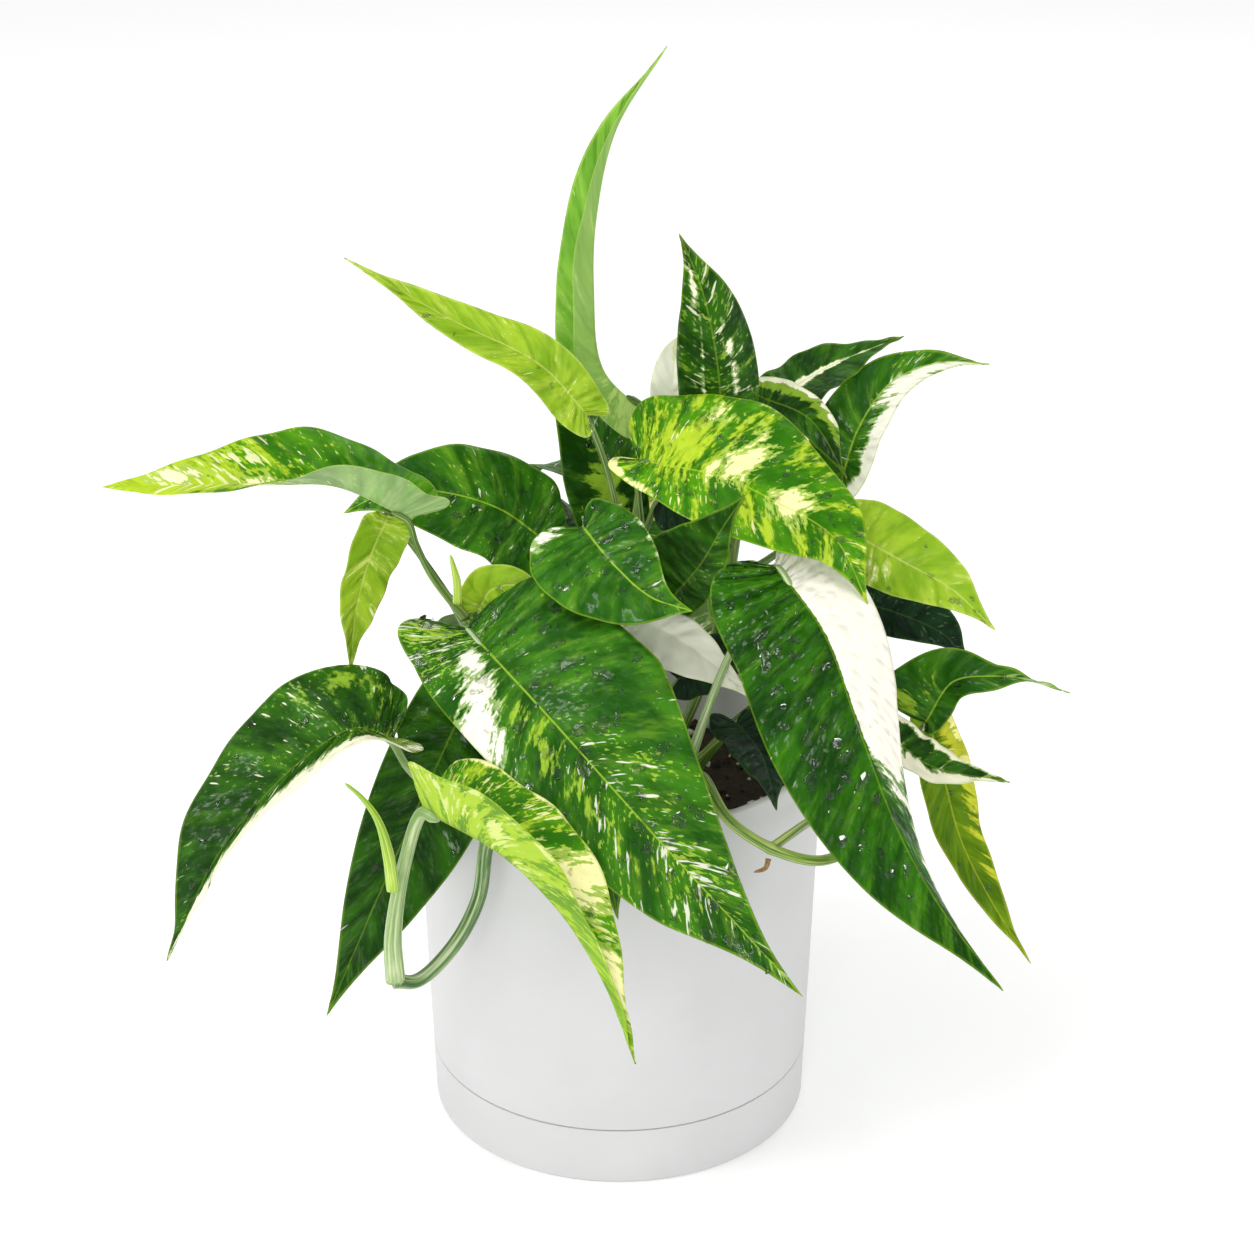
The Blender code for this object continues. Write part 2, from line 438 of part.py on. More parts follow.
def pot_inside(z):
    """The wall steps inwards at the seam, where the pot stands inside the saucer."""
    step = SAUCER_WALL + FOOT_CLEARANCE
    share = np.clip((SEAM_HEIGHT + STEP_ABOVE - z) / (STEP_ABOVE + STEP_BELOW), 0, 1)
    return pot_outside(z) - POT_WALL - step * share


def soil_height(radius):
    return SOIL_TOP + SOIL_CROWN * (1 - (radius / pot_inside(SOIL_TOP))**2)


# ---- objects -------------------------------------------------------------------------------------------
def clear_scene():
    for item in list(bpy.data.objects):
        bpy.data.objects.remove(item, do_unlink=True)


def material(look):
    made = bpy.data.materials.get(look)
    if made is None:
        made = bpy.data.materials.new(look)
        made.use_nodes = True
        shader = made.node_tree.nodes["Principled BSDF"]
        shader.inputs["Base Color"].default_value = (*LOOKS[look]["color"], 1)
        shader.inputs["Roughness"].default_value = LOOKS[look]["roughness"]
        shader.inputs["Metallic"].default_value = 0
        made.diffuse_color = (*LOOKS[look]["color"], 1)
    return made


def add_object(name, look, vertices, faces, smooth_angle=40):
    mesh = bpy.data.meshes.new(name)
    mesh.from_pydata([tuple(map(float, vertex)) for vertex in vertices], [], faces)
    mesh.validate()
    mesh.materials.append(material(look))
    mesh.shade_smooth()
    mesh.set_sharp_from_angle(angle=np.radians(smooth_angle))
    item = bpy.data.objects.new(name, mesh)
    bpy.context.scene.collection.objects.link(item)
    return item


def as_tool(item):
    """Keep an object only as the operand of a Boolean."""
    item.hide_render = True
    item.display_type = "WIRE"
    return item


def combine(item, tool, operation):
    step = item.modifiers.new(operation.lower() + "_" + tool.name, "BOOLEAN")
    step.operation = operation
    step.solver = "EXACT"
    step.object = tool


def turned(profile, steps=ROUND_STEPS):
    """Vertices and faces of a closed solid turned about Z; the profile starts and ends on the axis."""
    start = (0, 0, profile[0][1])
    end = (0, 0, profile[-1][1])
    vertices = [start]
    for radius, height in profile[1:-1]:
        for step in range(steps):
            angle = 2 * np.pi * step / steps
            vertices.append((radius * np.cos(angle), radius * np.sin(angle), height))
    vertices.append(end)
    last = len(vertices) - 1
    rings = len(profile) - 2
    faces = []
    for step in range(steps):
        after = (step + 1) % steps
        faces.append((0, 1 + after, 1 + step))
        for ring in range(rings - 1):
            low = 1 + ring * steps
            faces.append((low + step, low + after, low + steps + after, low + steps + step))
        top = 1 + (rings - 1) * steps
        faces.append((top + step, top + after, last))
    return vertices, faces


def add_saucer():
    inner_floor = pot_outside(SAUCER_FLOOR) - SAUCER_WALL
    profile = (
        (0, 0),
        (pot_outside(0) - SAUCER_EDGE, 0),
        (pot_outside(SAUCER_EDGE), SAUCER_EDGE),
        (pot_outside(SEAM_HEIGHT), SEAM_HEIGHT),
        (pot_outside(SEAM_HEIGHT) - SAUCER_WALL, SEAM_HEIGHT),
        (inner_floor, SAUCER_FLOOR),
        (0, SAUCER_FLOOR),
    )
    add_object("drip_saucer", "white_plastic", *turned(profile))


def add_pot():
    under = SAUCER_FLOOR + GAP
    shoulder = SEAM_HEIGHT + GAP
    recess = SAUCER_WALL + GAP
    floor_top = under + POT_FLOOR
    rim_start = POT_HEIGHT - RIM_ROUND
    profile = (
        (0, under),
        (pot_outside(under) - recess, under),
        (pot_outside(shoulder) - recess, shoulder),
        (pot_outside(shoulder), shoulder),
        (pot_outside(rim_start), rim_start),
        (pot_outside(POT_HEIGHT) - RIM_ROUND, POT_HEIGHT),
        (pot_inside(POT_HEIGHT) + RIM_ROUND, POT_HEIGHT),
        (pot_inside(rim_start), rim_start),
        (pot_inside(SEAM_HEIGHT + STEP_ABOVE), SEAM_HEIGHT + STEP_ABOVE),
        (pot_inside(SEAM_HEIGHT - STEP_BELOW), SEAM_HEIGHT - STEP_BELOW),
        (pot_inside(floor_top), floor_top),
        (0, floor_top),
    )
    pot = add_object("planter_pot", "white_plastic", *turned(profile))
    for hole in range(DRAIN_COUNT):
        angle = DRAIN_TURN + 2 * np.pi * hole / DRAIN_COUNT
        bpy.ops.mesh.primitive_cylinder_add(
            vertices=DRAIN_SIDES, radius=DRAIN_RADIUS, depth=DRAIN_CUTTER_LENGTH,
            location=(DRAIN_RING_RADIUS * np.cos(angle), DRAIN_RING_RADIUS * np.sin(angle), floor_top))
        cutter = as_tool(bpy.context.object)
        cutter.name = f"drain_cutter_{hole}"
        combine(pot, cutter, "DIFFERENCE")


def add_soil():
    bottom = SAUCER_FLOOR + GAP + POT_FLOOR + GAP
    heights = (bottom, SEAM_HEIGHT - STEP_BELOW, SEAM_HEIGHT + STEP_ABOVE, SOIL_TOP)
    wall = [(pot_inside(z) - GAP, z) for z in heights]
    edge = pot_inside(SOIL_TOP) - GAP
    crown = [(edge * share, soil_height(edge * share)) for share in SOIL_RINGS]
    profile = ((0, bottom), *wall, *crown, (0, soil_height(0)))
    add_object("potting_soil", "soil", *turned(profile, steps=ROUND_STEPS // 2))


def add_leaf(name, spec):
    shape = {key: value for key, value in spec.items() if key != "look"}
    grid = leaf_surface(**shape)
    rows, columns = grid.shape[:2]
    vertices = [grid[0, 0], *grid[1:-1].reshape(-1, 3), grid[-1, 0]]
    last = len(vertices) - 1
    faces = []
    for column in range(columns - 1):
        faces.append((0, 2 + column, 1 + column))
        for row in range(rows - 3):
            low = 1 + row * columns + column
            faces.append((low, low + 1, low + columns + 1, low + columns))
        top = 1 + (rows - 3) * columns + column
        faces.append((top, top + 1, last))
    leaf = add_object(name, spec["look"], np.array(vertices) * CM, faces, smooth_angle=60)
    thickness = leaf.modifiers.new("thickness", "SOLIDIFY")
    thickness.thickness = LEAF_THICKNESS
    thickness.offset = 0


def add_vine(name, spec):
    points = vine_points(spec["path"])
    radius = spec["radius"]
    radii = (radius, radius, radius * VINE_TIP_SHARE)
    vine = add_object(name, "stem_green", *tube(points, radii, VINE_SIDES))
    for leaf, waypoints in spec["stalks"].items():
        shape = tube(stalk_points(leaf, waypoints), (STALK_RADIUS, STALK_TIP_RADIUS), STALK_SIDES)
        stalk = as_tool(add_object(leaf.replace("leaf", "stalk"), "stem_green", *shape))
        combine(vine, stalk, "UNION")


def add_sprouts():
    for name, spec in SPROUTS.items():
        add_object(name, spec["look"], *tube(spec["path"], spec["radii"], STALK_SIDES))


def build():
    clear_scene()
    add_saucer()
    add_pot()
    add_soil()
    for name, spec in LEAVES.items():
        add_leaf(name, spec)
    for name, spec in VINES.items():
        add_vine(name, spec)
    add_sprouts()


build()
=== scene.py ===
"""Looks of the potted pothos: veined and marbled leaf blades, striped stems, water drops, soil, white pot.

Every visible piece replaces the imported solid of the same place, in the same frame: metres, +Z up, the front
of the plant towards -Y.  Leaf and stem points are in centimetres.  Leaves are blades of one heart-shaped
outline, each on its own rib curve, with the half widths, fold and curl of its two sides.
"""

import bmesh
import bpy
import numpy as np
from mathutils.kdtree import KDTree
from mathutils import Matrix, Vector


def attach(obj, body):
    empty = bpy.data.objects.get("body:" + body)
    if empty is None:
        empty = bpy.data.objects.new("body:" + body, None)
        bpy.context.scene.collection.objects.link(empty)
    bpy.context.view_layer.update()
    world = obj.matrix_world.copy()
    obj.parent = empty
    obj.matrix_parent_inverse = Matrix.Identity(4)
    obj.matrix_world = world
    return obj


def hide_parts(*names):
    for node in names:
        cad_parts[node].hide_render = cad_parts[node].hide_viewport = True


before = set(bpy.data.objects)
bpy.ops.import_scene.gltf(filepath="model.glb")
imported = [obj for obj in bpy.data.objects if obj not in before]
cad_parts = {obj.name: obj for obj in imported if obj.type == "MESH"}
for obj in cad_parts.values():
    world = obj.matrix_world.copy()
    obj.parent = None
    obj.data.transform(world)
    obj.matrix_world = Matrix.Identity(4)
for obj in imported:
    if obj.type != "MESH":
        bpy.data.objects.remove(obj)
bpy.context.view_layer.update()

CM = 0.01

# ---- leaf outline, shares of length and half width ------------------------------------------------------
MARGIN_STATION = (0, .07, .15, .26, .40, .56, .72, .86, 1)
MARGIN_ALONG = (0, -.075, -.085, .02, .20, .42, .66, .86, 1)
MARGIN_ACROSS = (0, .30, .62, .90, 1, .90, .57, .18, 0)
VEIN_START = (0, 0, .01, .05, .14, .30, .54, .80, 1)
VEIN_BOW = 1.15
FLAT_BEND = 1e-6
CURVE_STEPS = 240
BLADE_ROWS = 84
BLADE_COLUMNS = 12
BLADE_THICKNESS = 0.045

# Pairs are (left, right), seen from the base of the leaf with the upper face up; one value serves both sides.
# A longer tuple holds values from the base of the leaf to its tip.  fold and curl are degrees, positive
# towards the upper face.  veins, cells, swell and ripple shape the surface, and lime, fleck and cream set how
# much of each mark there is all over the blade.  Patches are (kind, station, out, station radius, out radius,
# level), with out from -1 at the left margin to 1 at the right one.
LEAVES = {
    "front_large": dict(look="marbled", rib=((-5.2, -5, 21.4), (-2, -9, 19.6), (1.2, -11, 16.6),
        (4, -11.8, 13.6), (6.2, -12, 11)), face=(.1, -.75, .65), half=((2.1, 3.5, 4.2, 3, 1),
        (3.8, 2.6, 2.6, 3.8, 3.5)), fold=(12, 8), curl=-14, lobe=(.1, .85), style="blue_green", drops=300,
        veins=13, cells=4, swell=.075, rows=130, columns=16, drop_size=1.5,
        patches=(("cream", .43, .84, .05, .3, .95), ("cream", .39, .52, .04, .28, .9),
        ("cream", .3, .26, .05, .16, .8), ("cream", .34, .4, .09, .34, .47), ("lime", .15, .6, .12, .5, .6),
        ("fleck", .14, .6, .2, .7, 1.3), ("lime", .58, .35, .2, .35, .55), ("fleck", .85, .1, .3, 1.2, 1))),
    "front_folded": dict(look="lime", rib=((-6.4, -10.8, 17.5), (-3.6, -13.4, 17.1), (-1.8, -14.4, 15.6),
        (-.4, -15, 13.3), (.6, -15.5, 10.6)), face=((.2, .1, 1), (.76, 0, .65), (.8, -.2, .4)),
        half=((2.4, 2.4, 2.5, 2.2, 1.4), (3.2, 2.7, 1.9, 1.3, .9)), fold=(50, 55), lobe=(.2, 0),
        style="green", drops=14, lime=.35, fleck=.9, swell=.03, cells=3,
        patches=(("lime", .2, .5, .5, .9, .8), ("cream", .64, -.55, .05, .6, .9),
        ("cream", .82, -.6, .08, .5, .8), ("cream", .35, -1, .4, .05, .7), ("cream", .45, .95, .5, .05, .7),
        ("fleck", .5, .5, .3, .6, 1.4))),
    "left_low": dict(look="marbled", rib=((-7.6, -8, 18.7), (-8.8, -8.5, 19.3), (-10.4, -9, 18.5),
        (-13.2, -9.5, 15.5), (-15.5, -9.5, 10.9)), face=(-.1, -.45, .9), half=(2.6, (2.4, 2.6, 2.8, 2.6)),
        fold=(40, 20), curl=(0, -20), lobe=.4, heel=40, style="dark", drops=90, cells=3, swell=.08,
        drop_size=1.2, lime=.15, fleck=.5, patches=(("lime", .32, .75, .12, .3, .62),
        ("lime", .12, -.5, .25, .7, .9), ("cream", .62, -.9, .5, .3), ("cream", .3, -.95, .25, .15, .75))),
    "left_dark": dict(rib=((-5, -5.6, 19.4), (-6.8, -6.5, 15.6), (-8.1, -7, 12.7), (-10.4, -7, 7.1)),
        face=(.1, -.9, .4), half=(2.3, 1.8), fold=12, curl=-10, drops=60, veins=11, cells=2, swell=.1,
        fleck=.1, lime=0),
    "left_long": dict(look="marbled", rib=((-7.1, -4, 25.1), (-9.5, -4.6, 26.5), (-11.7, -5, 26.7),
        (-17.1, -6, 27)), face=((0, .2, 1), (0, -.2, 1), (0, -.7, .7)), half=((1.6, 1.7, 1.8, 2.4), 2.3),
        fold=((50, 35, 10), (46, 34, 14)), curl=(0, -16), style="arm", drops=10,
        patches=(("lime", .92, 0, .26, 1.6), ("fleck", .85, 0, .3, 1.4, 1.4),
        ("cream", .7, -.1, .05, .5, .75), ("cream", .82, .5, .07, .4, .7))),
    "left_hanging": dict(look="lime", rib=((-7.9, -3.3, 24.8), (-8.5, -3.5, 23.5), (-9.1, -3.5, 21.4),
        (-9.4, -3.5, 18.9)), face=(.5, -.8, .3), half=1, fold=15, lobe=.3, lime=.3),
    "left_middle": dict(rib=((-2.6, -.2, 22.6), (-4.2, -.6, 24), (-6.2, -1, 24.8), (-8, -1, 24.8),
        (-9.7, -.5, 23.8)), face=(.1, -.6, .75), half=((2, 2.2, 2.5, 2.5), (1.2, 2.1, 2.3, 2.3)), curl=-10,
        lobe=.6, style="blue_green", drops=30, fleck=.4, cells=3, swell=.06),
    "centre_heart": dict(rib=((-1.2, -3.5, 24.5), (-.1, -5, 23.7), (1.1, -6, 23), (2.5, -6.5, 22.7)),
        face=(.1, -.85, .5), half=((1.5, 1.7, 1.9), 2.5), curl=-10, lobe=1.2, style="blue_green", drops=60,
        cells=3, swell=.06, patches=(("cream", .14, .85, .08, .25, .62),
        ("cream", .5, -.98, .25, .06, .6))),
    "left_small": dict(look="lime", rib=((-4.9, -2.7, 21), (-4.4, -2.9, 21.9), (-3.5, -3, 22.1),
        (-2.5, -3, 21.3)), face=(0, -.8, .6), half=.9, fold=15, lime=.3, fleck=.4, drops=6),
    "top_upright": dict(look="lime", rib=((.8, 1.5, 26.8), (-.6, 1, 28.6), (-.9, .5, 31.7), (-.8, .5, 34.2),
        (-.1, .3, 37.4), (1.6, 0, 40.3)), face=(-.9, -.3, 0), half=(.9, 1.5, 1.5, 1.5, 1.2), fold=45,
        lobe=.2, style="pale", lime=.25, fleck=.2, veins=16, swell=.02, ripple=.04,
        patches=(("lime", .1, 0, .25, 1.5),)),
    "upper_left": dict(look="lime", rib=((-1.1, -1, 27.7), (-2.7, -1.5, 29.7), (-5.7, -2, 31.5),
        (-9.1, -2.5, 33.8)), face=(-.1, -.75, .65), half=(1.1, 1), fold=25, lobe=.5, lime=.15, fleck=.35,
        drops=12, veins=12, swell=.05),
    "upper_cone": dict(look="marbled", rib=((3.7, 1.5, 26.6), (3.4, 1.5, 29.2), (2.9, 1.5, 31.4),
        (2.1, 1.2, 33.5)), face=(.1, -1, .1), half=((1.8, 1.7, 1.5, 1.1), (1.8, 1.8, 1.7, 1.4)), fold=-5,
        curl=-50, lobe=.5, style="dark", lime=.32, fleck=.6, veins=7, drops=10,
        patches=(("cream", .5, -.35, .4, .07, .62), ("cream", .45, .35, .35, .1, .6),
        ("cream", .8, -.5, .15, .2, .62))),
    "upper_cream": dict(look="cream", rib=((3, 3.5, 25), (2, 3.5, 27), (2.2, 4, 28.3), (3.5, 4.3, 29)),
        face=(0, -1, .2), half=1, lobe=.5, cream=.6),
    "right_marbled": dict(look="marbled", rib=((.7, -2, 26.4), (3.7, -3.5, 26.3), (5.2, -4.2, 25.8),
        (7.3, -4.9, 24.7), (8.5, -5.2, 22.4)), face=((0, -.55, .83), (0, -.55, .83), (.5, -.7, .4)),
        half=(3.4, (.8, 1.2, 2.2, 2.8, 2.8)), fold=5, curl=-10, style="green", drops=140, veins=10, cells=3,
        rows=110, columns=14, swell=.07, lime=.4, fleck=.5, patches=(("cream", .57, -.25, .05, .5, .75),
        ("cream", .72, -.1, .04, .5, .75), ("cream", .42, -.75, .06, .2, .6), ("cream", .1, .9, .2, .14),
        ("lime", .3, -.3, .4, .8, .7))),
    "back_right_dark": dict(rib=((5.6, 5.2, 25.9), (7.8, 6.2, 26.9), (10.5, 6.7, 27.9)),
        face=(-.2, -.3, .9), half=(1.3, 1.7), fleck=.2, lime=0, patches=(("cream", .45, 0, .4, .12),)),
    "back_right_edged": dict(look="marbled", rib=((8.2, 4, 23.4), (8.8, 4.6, 25.1), (10, 5.3, 26.6),
        (11.8, 6, 27.1), (13.8, 7, 26.7)), face=(-.1, -.75, .6), half=((1.2, 1.6, 1.2, .5), (1, 1, .9, .5)),
        style="blue_green", fleck=.4, patches=(("cream", .35, .85, .35, .3), ("cream", .8, .5, .2, .5))),
    "back_right_banded": dict(rib=((5.1, 3.5, 26.7), (6.9, 3.3, 25.9), (8.3, 3, 23.7)), face=(.2, -.8, .5),
        half=(.9, .8), fleck=.2, lime=0, patches=(("lime", .35, -.8, .5, .3),
        ("cream", .35, -.95, .35, .16))),
    "right_lime": dict(look="lime", rib=((8.2, 0, 22.9), (10, -.5, 22), (11.8, -1, 21.1),
        (13.4, -1.5, 19.7)), face=(.1, -.85, .5), half=(1.5, 1.4), curl=-10, lime=.25, drops=20,
        patches=(("cream", .3, .5, .2, .5, .55),)),
    "right_shaded": dict(rib=((8.7, 2, 19.3), (10.5, 2, 18.7), (12, 2, 17.9), (12.9, 2, 16.8)),
        face=(.1, -.8, .5), half=(1.6, 1), style="shadow", fleck=.5, lime=.25, drops=12),
    "right_folded": dict(look="marbled", rib=((11.1, -1, 15.8), (12, -1.5, 17.7), (13.1, -1.7, 18),
        (14.6, -2, 18), (16.1, -2, 17.5)), face=((-.3, -.8, .5), (0, -.75, .65), (0, .7, .7)),
        half=((2.4, 2.2, .6, .3), (.5, .7, .8, .7)), lobe=.4, style="blue_green", lime=.15, drops=12,
        patches=(("cream", .92, .2, .14, .8, .6), ("lime", .3, -.5, .2, .4, .6))),
    "right_small": dict(look="cream", rib=((9.5, -3.5, 16.6), (11, -4, 15.6), (13.8, -4.5, 15.2)),
        face=(0, -.5, .85), half=.9, fold=20, style="dark", lime=.3, fleck=.2,
        patches=(("cream", .45, .8, .6, .65), ("cream", .4, -1, .5, .2))),
    "right_hanging": dict(look="marbled", rib=((11.4, .5, 15.1), (12, 0, 13), (12.7, -.3, 10.6),
        (13.9, -.6, 8.2), (15.5, -1, 5.7)), face=(.4, -.8, .3), half=1.1, style="olive", lime=.15, fleck=.2,
        drops=10, patches=(("lime", .25, -.8, .35, .5), ("cream", .25, -.9, .25, .25, .7))),
    "right_large": dict(rib=((5.3, -5.2, 23.8), (6.9, -7, 22.1), (8.1, -8.3, 19.1), (9.5, -9, 15.6),
        (10.9, -9.5, 13.1), (13.2, -10, 10)), face=(0, -.85, .5), half=((2.6, 2.9, 2.6, 1.6),
        (2.8, 3.3, 3.7)), fold=((-25, -35, -60, -75), 5), curl=(-20, -10), lobe=.6, style="bicolour",
        drops=230, veins=15, cells=5, swell=.15, fleck=.1, lime=.05, ripple=.07, rows=150, columns=18,
        drop_size=1.3, drop_span=(.05, .8), drop_across=(.5, .95),
        patches=(("cream_half", .27, -.5, .4, 1.4), ("cream", .78, -1, .3, .25, .6),
        ("cream", .03, .3, .05, .4, .8))),
    "centre_cream": dict(look="cream", rib=((.6, -3.6, 21.2), (2.6, -4.2, 20.2), (4.7, -5, 18.7)),
        face=(.1, -.75, .65), half=(.9, 1.3), cream=1, drops=4),
    "centre_raised": dict(rib=((1.9, -2.8, 21.6), (2.8, -4.4, 23.5), (3.5, -6.1, 25.6), (4.2, -6.9, 27.1)),
        face=(-.1, -.9, .4), half=(1.9, 1)),
    "centre_shaded": dict(rib=((1.5, 1.2, 23.6), (2.9, 1.6, 23.1), (4.1, 1.6, 21.6)), face=(.1, -.75, .65),
        half=(1.2, 1.4), style="shadow", fleck=.2, lime=0),
    "centre_tall": dict(rib=((-.1, 1.4, 22.2), (-.7, 2, 25.1), (-1.7, 2.6, 27.2), (-2.7, 3.2, 28.6)),
        face=(.1, -.95, .3), half=((1.1, 1.6, 1.9), 1.4), fleck=.4, lime=.25, veins=10, drops=12,
        patches=(("lime", .4, 0, .3, .4),)),
    "inner_rim": dict(rib=((4.2, -2.6, 16.6), (5, -5, 16.5), (5.4, -7.9, 15.9)), face=(0, -.2, 1), half=1.2,
        style="shadow", fleck=.1, lime=0),
    "inner_front": dict(rib=((-2, -6, 16.8), (-.6, -8.3, 15), (0, -8.8, 12.1)), face=(0, -.8, .6), half=1.3,
        fleck=.1, lime=0),
    "inner_grey": dict(rib=((2.2, .6, 16.8), (4, .6, 17.6), (5.8, .4, 17.4)), face=(0, -.5, .9), half=1.3,
        style="shadow", fleck=.1, lime=0),
    "inner_left": dict(rib=((-2.5, 2.4, 17), (-4.4, 2.8, 18), (-6.8, 2.6, 16.8)), face=(-.1, -.2, 1),
        half=1.6, curl=-10, fleck=.1, lime=0),
    "behind_upper": dict(look="marbled", rib=((1, 4.2, 21), (1.2, 6, 22), (1.5, 8.2, 21), (1.6, 9.6, 18.6)),
        face=(0, .5, .9), half=1.9, curl=-10, style="green", lime=.35, fleck=.5, drops=24,
        patches=(("cream", .4, .5, .1, .7),)),
    "behind_high_left": dict(rib=((-1, 3.8, 22), (-2, 5, 23.2), (-3.2, 6.4, 22.8), (-4, 7.5, 21.2)),
        face=(-.3, .6, .75), half=1.5, curl=-10, fleck=.4, lime=.2, drops=12),
    "behind_high_right": dict(look="marbled", rib=((3.4, 5, 23.2), (4.7, 6.2, 24.1), (6.1, 7.2, 23.3),
        (7, 7.8, 21.6)), face=(.3, .6, .75), half=1.4, curl=-10, style="green", fleck=.5, lime=.3, drops=12,
        patches=(("cream", .5, .6, .1, .4),)),
    "behind_low": dict(look="lime", rib=((-2.2, 3.5, 15.2), (-3.6, 4.3, 16.1), (-4.8, 5.1, 16.1),
        (-5.5, 5.7, 15.5)), face=(-.2, .2, .9), half=1.2, curl=-10, lime=.3, drops=6),
    "behind_near_left": dict(rib=((-1.2, 4.8, 20.2), (-2.8, 6, 21.4), (-4.6, 7, 20.8), (-5.6, 7.6, 19.4)),
        face=(-.3, .4, .9), half=1.5, curl=-10, fleck=.4, lime=.2, drops=16),
    "behind_near_right": dict(rib=((3.4, 5.2, 20.3), (5, 6.6, 20.9), (6.4, 7.4, 20), (7.1, 7.8, 18.3)),
        face=(.3, .4, .9), half=1.6, curl=-10, drops=16, patches=(("cream", .4, -.8, .3, .3),)),
    "behind_left": dict(rib=((-3.1, 5.3, 17.5), (-5.1, 7.1, 16.6), (-6.6, 8.2, 13), (-7.4, 8.4, 8.2)),
        face=(-.6, .6, .5), half=2.2, curl=-10, lobe=.6, drops=24, veins=10, swell=.05),
    "behind_centre": dict(look="marbled", rib=((-1, 6, 19), (-1.8, 8.5, 18.5), (-2.2, 10.5, 14.5),
        (-2.5, 11, 9)), face=(-.1, .8, .55), half=3, curl=-10, style="green", lime=.4, fleck=.6, drops=50,
        patches=(("cream", .3, -.5, .08, .7), ("cream", .65, .4, .1, .6), ("lime", .5, 0, .5, 1))),
    "behind_right": dict(look="marbled", rib=((2.5, 6, 18), (3.3, 8.6, 17), (3.8, 10.2, 13),
        (4.2, 10.3, 7.5)), face=(.2, .8, .5), half=2.8, curl=-10, style="blue_green", fleck=.5, lime=.25,
        drops=50, veins=11, patches=(("cream", .35, .7, .2, .4), ("cream", .7, -.3, .08, .6))),
    "behind_side": dict(look="lime", rib=((5.5, 5, 18.5), (7.3, 6.8, 17.8), (8.6, 7.8, 14.5),
        (9.2, 8, 9.5)), face=(.6, .6, .5), half=2.2, curl=-10, lime=.3, fleck=.4, drops=20),
}

